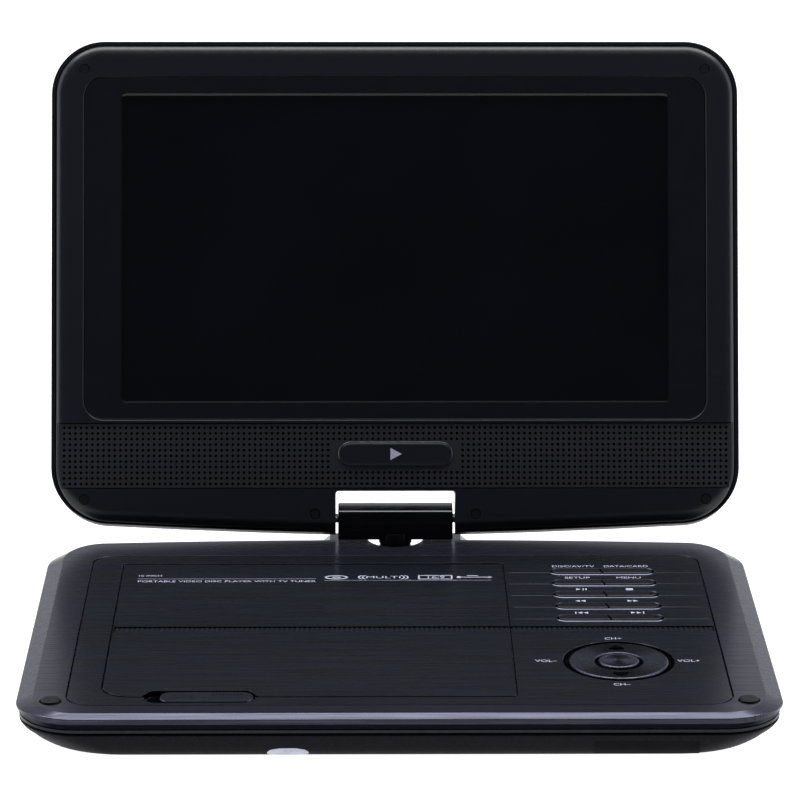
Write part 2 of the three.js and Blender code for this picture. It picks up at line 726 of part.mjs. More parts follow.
put(player, "lower_shell", lowerShell(), looks.shell);
put(player, "trim_ring", trimRing(), looks.gloss);
put(player, "top_shell", topShell(), looks.shell);
put(player, "top_panel", topPanel(), looks.brushed);
put(player, "disc_door", discDoor(), looks.brushed);
put(player, "open_slider", openSlider(), looks.chrome);
const sideNames = ["left", "right"];
for (let row = 0; row < keyRow.count; row += 1) {
  sideNames.forEach((name, index) => {
    put(player, `key_${name}_${row + 1}`, pillKey(row, index === 1), looks.gloss);
  });
}
put(player, "nav_ring", navRing(), looks.chrome);
put(player, "ok_button", okButton(), looks.chrome);
put(player, "power_switch", powerSwitch(), looks.gloss);
put(player, "dc_jack", roundPort("dc"), looks.gloss);
put(player, "phones_jack", roundPort("phones"), looks.gloss);
put(player, "av_jack", roundPort("av"), looks.gloss);
put(player, "usb_port", usbPort(), looks.metal);
put(player, "remote_window", windowBlock(0), looks.glass);
put(player, "bumper_left", bumperPad(-1), looks.rubber);
put(player, "bumper_right", bumperPad(1), looks.rubber);
for (const across of ["left", "right"]) {
  for (const along of ["rear", "front"]) {
    put(player, `foot_${along}_${across}`, foot(footPlaces[across], footPlaces[along]), looks.rubber);
  }
}
put(player, "main_board", mainBoard(), looks.board);
put(player, "key_board", keyBoard(), looks.board);
put(player, "battery_pack", batteryPack(), looks.cell);
put(player, "drive_frame", driveFrame(), looks.shell);
put(player, "guide_rod_left", guideRod(-1), looks.metal);
put(player, "guide_rod_right", guideRod(1), looks.metal);
put(player, "spindle_motor", spindleMotor(), looks.metal);
put(player, "turntable", turntable(), looks.gloss);
put(player, "pickup_sled", pickupSled(), looks.gloss);
put(player, "lead_screw", leadScrew(), looks.metal);
put(player, "sled_motor", sledMotorBody(), looks.metal);
put(player, "swivel_seat", swivelSeat(), looks.shell);
put(player, "swivel_shaft", swivelShaft(), looks.chrome);
put(player, "hinge_front_cover", hingeCover(true), looks.gloss);
put(player, "hinge_rear_cover", hingeCover(false), looks.gloss);
put(player, "tilt_pin_left", tiltPin(-1), looks.metal);
put(player, "tilt_pin_right", tiltPin(1), looks.metal);

put(lidGroup, "lid_back_shell", lidBackShell(), looks.bezel);
put(lidGroup, "lid_front_bezel", lidFrontBezel(), looks.bezel);
put(lidGroup, "screen_frame", screenFrame(), looks.gloss);
put(lidGroup, "screen_panel", screenPanel(), looks.glass);
put(lidGroup, "speaker_grille", speakerGrille(), looks.mesh);
put(lidGroup, "badge", badgePlate(), looks.chrome);
put(lidGroup, "speaker_left", speaker(-1), looks.metal);
put(lidGroup, "speaker_right", speaker(1), looks.metal);
put(lidGroup, "display_board", displayBoard(), looks.board);
for (const [name, side] of [["left", -1], ["right", 1]]) {
  put(lidGroup, `screw_cap_low_${name}`, screwCap(side, cap.low), looks.rubber);
  put(lidGroup, `screw_cap_high_${name}`, screwCap(side, cap.high), looks.rubber);
}

// Centre the whole player over the origin.
const whole = new THREE.Box3().setFromObject(player);
player.position.y = -(whole.min.y + whole.max.y) / 2;

const group = new THREE.Group();
group.add(player);

export default group;
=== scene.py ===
import json
import math

import bmesh
import bpy
from mathutils import Matrix, Vector


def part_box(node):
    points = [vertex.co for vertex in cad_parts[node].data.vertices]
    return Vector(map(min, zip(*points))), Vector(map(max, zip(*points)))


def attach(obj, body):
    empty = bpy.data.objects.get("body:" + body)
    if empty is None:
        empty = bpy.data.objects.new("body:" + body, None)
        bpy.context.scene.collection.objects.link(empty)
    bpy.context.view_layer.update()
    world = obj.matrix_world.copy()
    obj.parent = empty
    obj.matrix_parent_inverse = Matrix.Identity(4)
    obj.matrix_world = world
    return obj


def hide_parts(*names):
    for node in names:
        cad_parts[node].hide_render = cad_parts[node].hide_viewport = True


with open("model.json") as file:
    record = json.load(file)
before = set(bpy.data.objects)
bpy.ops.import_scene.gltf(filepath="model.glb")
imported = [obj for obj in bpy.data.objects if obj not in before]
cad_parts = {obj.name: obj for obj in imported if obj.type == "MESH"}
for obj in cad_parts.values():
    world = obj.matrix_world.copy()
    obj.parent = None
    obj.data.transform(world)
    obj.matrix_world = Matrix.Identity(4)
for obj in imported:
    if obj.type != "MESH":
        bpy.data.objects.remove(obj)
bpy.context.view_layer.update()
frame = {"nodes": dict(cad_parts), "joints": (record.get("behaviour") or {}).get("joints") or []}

mm = 0.001  # sizes below are in millimetres, Blender's own are in metres

# what the frame settles: the two hinge axes, the lid's lean and the level of the base's top
joints = {joint["name"]: joint for joint in frame["joints"]}
swivelY = joints["swivel"]["pos_m"][1] / mm
tiltZ = joints["lid_tilt"]["pos_m"][2] / mm
lean = math.radians(90 - joints["lid_tilt"]["range_deg"][1])
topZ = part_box("top_panel")[1].z / mm
basePlace = Matrix.Translation((0, swivelY * mm, 0))
lidPlace = Matrix.Translation((0, swivelY * mm, tiltZ * mm)) @ Matrix.Rotation(-lean, 4, "X")
bpy.context.scene.view_settings.view_transform = "Standard"

# camera
cameraSetup = {
    "aside": -15.2, "back": 1476.9, "above": 503.7, "turn": 0.659, "down": 16.762, "roll": -0.141,
    "lens": 171.8,
}


def makeCamera():
    turn, down, roll = (math.radians(cameraSetup[key]) for key in ("turn", "down", "roll"))
    ahead = Vector((math.sin(turn) * math.cos(down), math.cos(turn) * math.cos(down), -math.sin(down)))
    level = Vector((math.cos(turn), -math.sin(turn), 0))
    rise = level.cross(ahead)
    right = level * math.cos(roll) - rise * math.sin(roll)
    up = level * math.sin(roll) + rise * math.cos(roll)
    data = bpy.data.cameras.new("camera")
    data.lens = cameraSetup["lens"]
    data.clip_end = 20
    camera = bpy.data.objects.new("camera", data)
    spot = Vector((cameraSetup["aside"], swivelY - cameraSetup["back"], topZ + cameraSetup["above"])) * mm
    camera.matrix_world = Matrix.Translation(spot) @ Matrix((right, up, -ahead)).transposed().to_4x4()
    bpy.context.scene.collection.objects.link(camera)
    bpy.context.scene.camera = camera


makeCamera()
print("camera ready")


# meshes: a point is (across, towards the front, up) in the base
# and (across, out of the screen, up the lid) in the lid
def at(across, front, up):
    return Vector((across, -front, up)) * mm


def onLevel(points, up):
    return [(x, front, up) for x, front in points]


def onFront(points, front):
    return [(x, front, up) for x, up in points]


def onSide(points, x):
    return [(x, front, up) for front, up in points]


def arc(centre, radii, start, end, steps):
    turns = [math.radians(start + (end - start) * i / steps) for i in range(steps + 1)]
    return [(centre[0] + radii[0] * math.cos(t), centre[1] + radii[1] * math.sin(t)) for t in turns]


def circle(centre, radius, steps=48):
    return arc(centre, (radius, radius), 0, 360, steps)[:-1]


def fillet(corners, steps=6):  # corners are (x, y, radius)
    loop = []
    count = len(corners)
    for i, (x, y, radius) in enumerate(corners):
        here = Vector((x, y))
        back = (Vector(corners[i - 1][:2]) - here).normalized()
        on = (Vector(corners[(i + 1) % count][:2]) - here).normalized()
        if radius <= 0:
            loop.append((x, y))
            continue
        half = back.angle(on) / 2
        centre = here + (back + on).normalized() * radius / math.sin(half)
        first = here + back * radius / math.tan(half) - centre
        sweep = first.angle_signed(here + on * radius / math.tan(half) - centre)
        for k in range(steps + 1):
            spoke = first.copy()
            spoke.rotate(Matrix.Rotation(-sweep * k / steps, 2))
            loop.append(tuple(centre + spoke))
    return loop


def roundRect(left, right, low, high, radius, steps=6):
    corners = [(left, low, radius), (right, low, radius), (right, high, radius), (left, high, radius)]
    return fillet(corners, steps)


def grow(loop, distance):  # moves a closed outline outwards
    area = sum(a[0] * b[1] - b[0] * a[1] for a, b in zip(loop, loop[1:] + loop[:1]))
    side = 1 if area > 0 else -1
    grown = []
    for i, point in enumerate(loop):
        here = Vector(point)
        before = (here - Vector(loop[i - 1])).normalized()
        after = (Vector(loop[(i + 1) % len(loop)]) - here).normalized()
        out = Vector((before.y + after.y, -before.x - after.x)) * side
        out = out / max(out.length_squared, 0.4) * 2
        grown.append(tuple(here + out * distance))
    return grown


# joins closed rings of points; cups closes the two ends, else the last ring meets the first
def stack(rings, cups=True):
    mesh = bmesh.new()
    loops = [[mesh.verts.new(at(*point)) for point in ring] for ring in rings]
    pairs = list(zip(loops, loops[1:])) + ([] if cups else [(loops[-1], loops[0])])
    for low, high in pairs:
        for i in range(len(low)):
            j = (i + 1) % len(low)
            mesh.faces.new((low[i], low[j], high[j], high[i]))
    if cups:
        mesh.faces.new(loops[0][::-1])
        mesh.faces.new(loops[-1])
    return mesh


def plate(loop, levels, cups=True):  # levels are (growth, height)
    return stack([onLevel(grow(loop, g), up) for g, up in levels], cups)


# a plate that stands in the lid; levels are (growth, distance towards the viewer)
def upright(loop, levels, cups=True):
    return stack([onFront(grow(loop, g), out) for g, out in levels], cups)


# turned about a vertical axis; profile is (radius, height), closed at both ends
def turned(centre, profile, steps=48):
    return stack([onLevel(circle(centre, radius, steps), up) for radius, up in profile])


# turned about a line that runs across; profile is (radius, across)
def turnedAcross(front, up, profile, steps=24):
    return stack([onSide(circle((front, up), radius, steps), x) for radius, x in profile])


# turned about a line that runs to the front; profile is (radius, front)
def turnedOut(centre, profile, steps=24):
    return stack([onFront(circle(centre, radius, steps), f) for radius, f in profile])


def brick(x0, x1, f0, f1, z0, z1, soft=0.0):
    loop = roundRect(x0, x1, f0, f1, soft, 4) if soft else [(x0, f0), (x1, f0), (x1, f1), (x0, f1)]
    if not soft:
        return plate(loop, [(0, z0), (0, z1)])
    return plate(
        loop,
        [
            (-soft, z0), (-0.3 * soft, z0 + 0.3 * soft), (0, z0 + soft), (0, z1 - soft),
            (-0.3 * soft, z1 - 0.3 * soft), (-soft, z1),
        ],
    )


def joined(meshes):
    whole = bmesh.new()
    for part in meshes:
        data = bpy.data.meshes.new("part")
        part.to_mesh(data)
        part.free()
        whole.from_mesh(data)
        bpy.data.meshes.remove(data)
    return whole


def bare(name, mesh, place):
    bmesh.ops.recalc_face_normals(mesh, faces=mesh.faces)
    data = bpy.data.meshes.new(name)
    mesh.to_mesh(data)
    mesh.free()
    piece = bpy.data.objects.new(name, data)
    piece.matrix_world = place
    bpy.context.scene.collection.objects.link(piece)
    return piece


def carve(mesh, cutters, kind="DIFFERENCE"):  # the mesh after each of the cutters is taken out of it
    piece = bare("carving", mesh, Matrix())
    tools = [bare("tool", cutter, Matrix()) for cutter in cutters]
    for tool in tools:
        step = piece.modifiers.new("cut", "BOOLEAN")
        step.operation = kind
        step.solver = "MANIFOLD"
        step.object = tool
    bpy.context.view_layer.update()
    shaped = piece.evaluated_get(bpy.context.evaluated_depsgraph_get()).to_mesh()
    result = bmesh.new()
    result.from_mesh(shaped)
    bmesh.ops.remove_doubles(result, verts=result.verts, dist=1e-6)
    bmesh.ops.dissolve_limit(
        result, angle_limit=math.radians(0.3), verts=result.verts, edges=result.edges,
    )
    for spent in [piece, *tools]:
        bpy.data.objects.remove(spent)
    return result


def add(name, mesh, look, body, replaces=(), place=basePlace, sharp=32, weighted=True, walls=None):
    piece = bare(name, mesh, place)
    piece.data.materials.append(look)
    if walls:  # steep faces inside these limits are the sides of gaps; they take the near-black dark gap material as painted shade
        piece.data.materials.append(looks["hole"])
        for face in piece.data.polygons:
            x, f = face.center.x / mm, -face.center.y / mm
            inside = walls[0] < x < walls[1] and walls[2] < f < walls[3]
            face.material_index = 1 if inside and abs(face.normal.z) < 0.3 else 0
    for face in piece.data.polygons:
        face.use_smooth = True
    piece.data.set_sharp_from_angle(angle=math.radians(sharp))
    if weighted:
        even = piece.modifiers.new("even shading", "WEIGHTED_NORMAL")
        even.keep_sharp = True
    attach(piece, body)
    if replaces:
        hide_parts(*replaces)
    return piece


def lettering(name, text, size, spot, look, body, wide=1.0, raised=0.05, left=False):
    curve = bpy.data.curves.new(name, "FONT")
    curve.body = text
    curve.size = size * mm * 1.38
    curve.align_x = "LEFT" if left else "CENTER"
    curve.align_y = "CENTER"
    curve.extrude = raised * mm / 2
    curve.resolution_u = 3
    holder = bpy.data.objects.new(name + "Curve", curve)
    bpy.context.scene.collection.objects.link(holder)
    bpy.context.view_layer.update()
    data = bpy.data.meshes.new_from_object(holder.evaluated_get(bpy.context.evaluated_depsgraph_get()))
    bpy.data.objects.remove(holder)
    data.transform(Matrix.Translation(at(*spot)) @ Matrix.Diagonal((wide, 1, 1, 1)))
    mesh = bmesh.new()
    mesh.from_mesh(data)
    bmesh.ops.remove_doubles(mesh, verts=mesh.verts, dist=1e-7)
    return add(name, mesh, look, body, weighted=False)


# materials
def linear(red, green, blue):
    return tuple(
        (c / 255 / 12.92) if c < 10.3 else ((c / 255 + 0.055) / 1.055) ** 2.4
        for c in (red, green, blue)
    ) + (1,)


def put(node, values):
    for name, value in values.items():
        node.inputs[name].default_value = value


def makeLook(
    name, dark, light, rough, spread=0.06, metal=0.0, scale=(900, 900, 900), detail=3.0, bump=0.0,
    coat=0.0, specular=0.5, grain=0.0, grainScale=2600, anisotropic=0.0,
):
    look = bpy.data.materials.new(name)
    look.use_nodes = True
    nodes, links = look.node_tree.nodes, look.node_tree.links
    shader = nodes["Principled BSDF"]
    put(shader, {
        "Metallic": metal, "Specular IOR Level": specular, "Coat Weight": coat, "Coat Roughness": 0.06,
        "Anisotropic": anisotropic,
    })
    where = nodes.new("ShaderNodeTexCoord")
    stretch = nodes.new("ShaderNodeMapping")
    put(stretch, {"Scale": scale})
    links.new(where.outputs["Object"], stretch.inputs["Vector"])
    pattern = nodes.new("ShaderNodeTexNoise")
    put(pattern, {"Scale": 1.0, "Detail": detail, "Roughness": 0.6})
    links.new(stretch.outputs["Vector"], pattern.inputs["Vector"])
    tint = nodes.new("ShaderNodeValToRGB")
    tint.color_ramp.elements[0].position = 0.34
    tint.color_ramp.elements[0].color = linear(*dark)
    tint.color_ramp.elements[1].position = 0.68
    tint.color_ramp.elements[1].color = linear(*light)
    links.new(pattern.outputs["Fac"], tint.inputs["Fac"])
    links.new(tint.outputs["Color"], shader.inputs["Base Color"])
    gloss = nodes.new("ShaderNodeMapRange")
    put(gloss, {
        "From Min": 0.3, "From Max": 0.7, "To Min": rough + spread, "To Max": max(rough - spread, 0.02),
    })
    links.new(pattern.outputs["Fac"], gloss.inputs["Value"])
    links.new(gloss.outputs["Result"], shader.inputs["Roughness"])
    height = pattern.outputs["Fac"]
    if grain:
        fine = nodes.new("ShaderNodeTexNoise")
        put(fine, {"Scale": grainScale, "Detail": 2})
        links.new(where.outputs["Object"], fine.inputs["Vector"])
        height = fine.outputs["Fac"]
    if bump or grain:
        relief = nodes.new("ShaderNodeBump")
        put(relief, {"Strength": max(bump, grain), "Distance": 0.00003})
        links.new(height, relief.inputs["Height"])
        links.new(relief.outputs["Normal"], shader.inputs["Normal"])
    return look


streaks = (22, 900, 900)  # brush marks: long across, fine from front to back
brushMarks = {"metal": 0.7, "scale": streaks, "bump": 0.25}
looks = {
    "shell": makeLook("satin shell plastic", (12, 12, 16), (20, 20, 26), 0.5, grain=0.25, specular=0.06),
    "trim": makeLook(
        "glossy trim", (16, 18, 26), (24, 26, 35), 0.3, scale=(300, 300, 300), specular=0.15,
    ),
    "brushed": makeLook("brushed dark top", (17, 19, 26), (37, 41, 51), 0.25, **brushMarks),
    "door": makeLook("brushed dark door", (17, 19, 26), (37, 41, 51), 0.25, **brushMarks),
    # the top cover's rim and bevels: the brushed finish made lighter and lavender as a painted highlight;
    # their reflections from the lamps are real
    "rim": makeLook("brushed dark rim", (25, 25, 35), (45, 45, 61), 0.25, **brushMarks),
    "groove": makeLook("dark ribbed strip", (7, 9, 14), (13, 16, 24), 0.6, specular=0.06),
    "key": makeLook(
        "satin key", (10, 11, 16), (19, 20, 28), 0.3, scale=(40, 900, 900), specular=0.12, bump=0.15,
    ),
    # key lips: lighter than the panel as a painted highlight, with real reflections from their metallic
    # finish
    "lipGlint": makeLook("key lip with painted highlight", (50, 52, 62), (72, 74, 86), 0.22, metal=0.9, scale=(40, 900, 900)),
    "slider": makeLook(
        "brushed slider", (22, 24, 32), (40, 43, 54), 0.3, metal=0.7, scale=streaks, bump=0.2,
    ),
    "mark": makeLook("pale printing", (122, 122, 136), (152, 152, 168), 0.5, specular=0.2),
    "darkMark": makeLook("black printing", (2, 2, 4), (6, 6, 9), 0.8, specular=0.0),
    "rubber": makeLook(
        "soft rubber", (6, 7, 10), (12, 13, 17), 0.45, grain=0.3, grainScale=1800, specular=0.12,
    ),
    "bezel": makeLook("satin lid plastic", (7, 9, 15), (12, 14, 22), 0.34, grain=0.2, specular=0.3),
    "lidBack": makeLook("satin lid back", (10, 11, 16), (17, 18, 24), 0.42, grain=0.28, specular=0.08),
    "frame": makeLook(
        "glossy screen frame", (8, 9, 14), (13, 14, 20), 0.14, coat=0.5, scale=(200, 200, 200),
    ),
    "screen": makeLook(
        "dark display", (1, 2, 5), (4, 5, 10), 0.07, spread=0.02, scale=(14, 14, 14), coat=1.0,
    ),
    "grille": makeLook("punched grille", (13, 14, 21), (21, 22, 31), 0.42, metal=0.2, grain=0.2),
    # near-black material for gap sides, hole floors and sheets under openings: painted shade
    "hole": makeLook("painted gap shade", (1, 1, 2), (4, 4, 6), 0.9, scale=(3000, 3000, 3000), specular=0.0),
    "badge": makeLook("gloss badge", (14, 15, 21), (20, 21, 29), 0.2, coat=0.4),
    "block": makeLook(
        "gloss hinge cover", (4, 4, 7), (8, 8, 12), 0.2, coat=0.15, specular=0.3, scale=(160, 160, 160),
    ),
    "neck": makeLook(
        "dark turned metal", (26, 26, 30), (44, 44, 50), 0.3, metal=0.8, scale=(200, 200, 2600), bump=0.2,
    ),
    "steel": makeLook(
        "turned steel", (120, 121, 128), (168, 169, 176), 0.28, metal=1.0, scale=(300, 300, 4000),
        bump=0.15,
    ),
    "port": makeLook("port plastic", (10, 10, 12), (18, 18, 21), 0.4, grain=0.2),
    "window": makeLook(
        "dark window", (9, 9, 13), (15, 15, 20), 0.4, scale=(120, 120, 120), specular=0.04,
    ),
    "board": makeLook(
        "green board", (12, 52, 30), (28, 92, 52), 0.45, scale=(500, 500, 500), detail=5, bump=0.3,
    ),
    "wrap": makeLook("battery wrap", (42, 60, 104), (58, 78, 128), 0.35, scale=(160, 160, 160), bump=0.2),
    "well": makeLook("matt deck plastic", (15, 15, 18), (23, 23, 27), 0.5, grain=0.35),
    "hub": makeLook("hub plastic", (20, 20, 23), (32, 32, 36), 0.35, grain=0.2),
    "lens": makeLook(
        "coated lens", (24, 40, 92), (60, 92, 160), 0.04, spread=0.02, scale=(500, 500, 500), coat=1.0,
    ),
    "label": makeLook(
        "pale label", (168, 168, 184), (190, 190, 205), 0.45, scale=(400, 400, 400), bump=0.1,
        specular=0.2,
    ),
}


# turned metal: light that fans out round the middle
def spunLook(name, dark, light, rough):
    look = makeLook(
        name, dark, light, rough, spread=0.05, metal=0.95, scale=(500, 500, 500), anisotropic=0.85,
    )
    nodes, links = look.node_tree.nodes, look.node_tree.links
    shader = nodes["Principled BSDF"]
    turning = nodes.new("ShaderNodeTangent")
    turning.direction_type = "RADIAL"
    turning.axis = "Z"
    links.new(turning.outputs["Tangent"], shader.inputs["Tangent"])
    return look


looks["ring"] = spunLook("spun ring", (34, 36, 44), (54, 56, 68), 0.28)
looks["ok"] = spunLook("spun button", (42, 44, 54), (64, 66, 80), 0.28)
print("materials ready:", len(looks))


# base outline: rings with their own insets at the sides and the ends, about fixed corner centres
baseSize = {
    "half": 140, "front": 197.4, "rearMiddle": -0.5, "rearSide": 3.4, "corner": 23, "tongueHalf": 29.3,
    "tongueRear": -9,
}


# the whole outline from its right half, whose first and last points lie in the middle
def mirrored(half):
    return half + [(-x, y) for x, y in half[-2:0:-1]]


def baseLoop(side, end, corner=None, tongue=True):
    s = baseSize
    corner = corner or s["corner"]
    bend = s["half"] - corner
    middle, rear, front = s["rearMiddle"] + end, s["rearSide"] + end, s["front"] - end
    half = s["tongueHalf"] - end
    if tongue:
        back = s["tongueRear"] + end
        points = [(0, back), (12, back), (half - 6, back)]
        points += arc((half - 2.5, back + 2.5), (2.5, 2.5), -90, 0, 5)
    else:
        points = [(x, middle) for x in (0, 12, half - 6)]
        points += [(half - 3 + 0.4 * i, middle) for i in range(6)]
    points += [
        (x, middle + (rear - middle) * (x / bend) ** 2)
        for x in [half + (bend - half) * i / 8 for i in range(9)]
    ][:-1]
    points += arc((bend, s["rearSide"] + corner), (corner - side, corner - end), -90, 0, 14)
    points += [(s["half"] - side, 60), (s["half"] - side, 120)]
    points += arc((bend, s["front"] - corner), (corner - side, corner - end), 0, 90, 14)
    points += [(bend * 0.5, front), (0, front)]
    return mirrored(points)


def baseRing(side, end, up, frontUp=None, corner=None, tongue=True):
    ring = []
    for x, f in baseLoop(side, end, corner, tongue):
        share = min(max((f - 175) / 20, 0), 1)
        share = share * share * (3 - 2 * share)
        ring.append((x, f, up if frontUp is None else up + (frontUp - up) * share))
    return ring


# what is cut out of the top, in the places of the CAD
notch = {"radius": 11.4, "floor": 9}
panelSize = {"half": 121.1, "rear": 22.1, "front": 186.5, "corner": 9, "under": 20}
doorSize = {"left": -108.7, "right": 42.5, "rear": 31.8, "front": 178.4, "under": 19, "hinge": 33.2}
catchNotch = {"left": -94.2, "right": -51.6, "depth": 6.1, "slant": 3.4, "gap": 0.5}
sliderSize = {
    "left": -87.3, "right": -53.3, "rear": 174.4, "front": 184.0, "travel": 4.1, "slotEnd": 1.5,
    "top": 21.4, "ribs": 9,
}
keySize = {
    "first": 41.6, "pitch": 13.45, "rows": 5, "left": 61.4, "right": 102.4, "depth": 7.2, "bottom": 17.8,
    "top": 21.4,
}
ringSize = {"x": 82, "front": 142.2, "recess": 20.8, "outer": 18.7, "inner": 8.9, "button": 7.7}
bumperSize = {"x": 126.7, "front": 182.4, "radius": 3.65}
wellSize = {"x": -33.1, "front": 105.2, "radius": 62, "floor": 13.5}
ribBand = {"rear": 104.7, "front": 110.5, "right": 120.6, "deep": 0.8, "pitch": 1.9}


def notchTools(low, high):
    loop = arc((0, 0), (notch["radius"], notch["radius"]), 0, 180, 24)
    loop += [(-notch["radius"], -14), (notch["radius"], -14)]
    return [plate(loop, [(0, low), (0, high)])]


def doorLoop():
    s, c = doorSize, catchNotch
    edge, front = s["front"] - c["depth"], s["front"] - c["gap"]
    corners = [(s["left"], s["rear"], 0.4), (s["right"], s["rear"], 0.4), (s["right"], front, 1.5)]
    corners += [(c["right"], front, 1.2), (c["right"] - c["slant"], edge, 1.5)]
    corners += [(c["left"] + c["slant"], edge, 1.5), (c["left"], front, 1.2), (s["left"], front, 10)]
    return fillet(corners, 8)


def doorHole():
    s = doorSize
    corners = [
        (s["left"], s["rear"], 0.4), (s["right"], s["rear"], 0.4), (s["right"], s["front"], 1.5),
        (s["left"], s["front"], 10),
    ]
    return fillet(corners, 8)


def panelLoop():
    s = panelSize
    return roundRect(-s["half"], s["half"], s["rear"], s["front"], s["corner"], 8)


def slotLoop():
    s = sliderSize
    return roundRect(
        s["left"] - s["travel"] - s["slotEnd"], s["right"] + 0.6, s["rear"] - 0.6, s["front"] + 0.6, 4.8,
        8,
    )


def pillLoop(row):
    s = keySize
    middle = s["first"] + s["pitch"] * row
    return roundRect(
        s["left"], s["right"], middle - s["depth"] / 2, middle + s["depth"] / 2, s["depth"] / 2 - 0.05,
        10,
    )


def openTop(loop, gap, low, flare=0.12):  # a cutter for a hole whose top edge is broken
    return plate(loop, [(gap, low), (gap, topZ - flare), (gap + flare, topZ), (gap + flare, topZ + 2)])


# underside: a battery cover with its groove and finger hollow, sound slots and screw wells
underSize = {
    "cover": (46, 124, 20, 100), "slots": 8, "slotPitch": 5.0, "slotsLeft": -70,
    "screws": [(-118, 40), (118, 120), (-60, 184), (60, 184)],
}


def underCuts():
    s = underSize
    cover = roundRect(*s["cover"], 4, 6)
    groove = [onLevel(grow(cover, g), up) for g, up in ((0, 2), (0, 3.3), (-0.7, 3.3), (-0.7, 2))]
    tools = [stack(groove, cups=False), plate(roundRect(78, 92, 86, 94, 3.5, 6), [(0, 2), (-0.6, 3.5)])]
    for i in range(s["slots"]):
        x = s["slotsLeft"] + s["slotPitch"] * i
        tools.append(plate(roundRect(x - 0.9, x + 0.9, 140, 166, 0.85, 3), [(0, 2), (0, 3.6)]))
    tools += [turned(spot, [(3.4, 2), (3.4, 3.0), (3.1, 3.9)], 24) for spot in s["screws"]]
    return tools


# base shells
def lowerShell():
    outside = [
        (12, 10.5, 2.8, 41), (9.4, 8.0, 2.95, 40), (7.6, 6.3, 3.5, 39), (5.5, 4.1, 4.6, 37),
        (3.8, 2.7, 6.2, 35),
    ]
    outside += [
        (2.6, 1.7, 8.2, 32), (1.7, 1.15, 10.4, 27), (1.1, 0.85, 12.2, 24.4), (1.05, 0.9, 12.8, 24),
        (1.7, 1.5, 13.2, 24),
    ]
    rings = [baseRing(side, end, up, corner=corner) for side, end, up, corner in outside]
    inside = [(3.4, 3.4, 13.2, 26), (4.2, 4.2, 9, 27), (9, 9, 5, 30), (15, 15, 4.3, 34)]
    rings += [baseRing(side, end, up, corner=corner, tongue=False) for side, end, up, corner in inside]
    tools = notchTools(notch["floor"], 22) + [turned((0, 0), [(7.05, 4.5), (7.05, 22)])]
    for low, high, rear, front in sidePorts["holes"]:
        loop = roundRect(rear, front, low, high, 0.8, 4)
        tools.append(stack([onSide(loop, x) for x in (125.5, 145)]))
    return carve(stack(rings), tools + underCuts())


sidePorts = {  # each hole is (low, high, rear, front)
    "holes": [
        (7.4, 13.4, 25.3, 34.7), (7.4, 13.4, 42.3, 49.7), (7.4, 13.4, 54.3, 61.7),
        (7.4, 13.4, 68.5, 83.5), (8.8, 11.8, 94.6, 105.4),
    ],
    "middle": 10.4, "low": 7.9, "high": 12.9, "back": 124, "mouth": 136.4,
}


def trimRing():
    levels = [
        (2.4, 13.5), (1.5, 13.6), (1.2, 13.8), (1.15, 14.9), (1.9, 15.0), (1.9, 15.3), (1.2, 15.4),
        (1.75, 16.85), (2.2, 17.0),
    ]
    rings = [baseRing(inset, inset, up) for inset, up in levels]
    rings += [baseRing(4.6, 4.6, 17.0, tongue=False), baseRing(4.6, 4.6, 13.5, tongue=False)]
    return carve(stack(rings, cups=False), notchTools(0, 22))


def topShell():
    outside = [
        (1.8, 1.8, 17.3, 17.3), (0.3, 0.3, 17.32, 17.32), (0.04, 0.04, 17.5, 17.6), (0, 0, 17.75, 19.3),
    ]
    outside += [
        (0.1, 0.06, 17.95, 19.5), (0.5, 0.3, 18.25, 19.7), (6.35, 2.65, topZ - 0.06, topZ - 0.06),
        (6.6, 2.9, topZ, topZ),
    ]
    rings = [baseRing(side, end, up, frontUp) for side, end, up, frontUp in outside]
    inner = [baseRing(8.7, 8.7, 16, tongue=False), baseRing(8.7, 8.7, 18.6, tongue=False)]
    tools = [stack(inner), openTop(panelLoop(), 0.5, 19.7), plate(doorHole(), [(0.45, 18), (0.45, 22)])]
    tools += [
        plate(slotLoop(), [(0, 19.2), (0, 22)]),
        turned((ringSize["x"], ringSize["front"]), [(19.1, 18), (19.1, 22)]),
    ]
    tools += [plate(pillLoop(row), [(0.3, 18), (0.3, 22)]) for row in range(keySize["rows"])]
    for side in (-1, 1):
        spot = (side * bumperSize["x"], bumperSize["front"])
        tools.append(turned(spot, [(3.95, 19.9), (3.95, topZ - 0.2), (4.25, topZ + 0.1), (4.25, 22)]))
    return carve(stack(rings), tools + notchTools(0, 22))


def discDeck():  # the plate under the door and the round well in it
    s, w = doorSize, wellSize
    spot = (w["x"], w["front"])
    sheet = brick(s["left"] - 2, s["right"] + 2, s["rear"] - 2, s["front"] + 2, 16.4, 18.55)
    r = w["radius"]
    cup = turned(spot, [(r - 2, 12), (r + 1.2, 12.4), (r + 1.5, 13), (r + 1.5, 18.5)], 96)
    whole = carve(sheet, [cup], "UNION")
    foot = [(r - 0.8, w["floor"]), (r - 0.1, w["floor"] + 0.3)]
    well = turned(spot, foot + [(r, 14.2), (r, 18.1), (r + 0.5, 18.6), (r + 0.5, 19)], 96)
    track = plate(
        roundRect(w["x"] - 8, w["x"] + 8, w["front"] + 6, w["front"] + r - 0.5, 3, 6), [(0, 11), (0, 16)],
    )
    fingers = []
    for turn in (45, 135, 225, 315):  # hollows that let fingers reach the disc's edge
        x, f = w["x"] + r * math.cos(math.radians(turn)), w["front"] + r * math.sin(math.radians(turn))
        fingers.append(turned((x, f), [(7, 15.2), (9, 16.6), (9.6, 19)], 32))
    return carve(whole, [well, turned(spot, [(17, 10), (17, 15)], 64), track] + fingers)


add("bottom_shell", lowerShell(), looks["shell"], "base", ["lower_shell"])


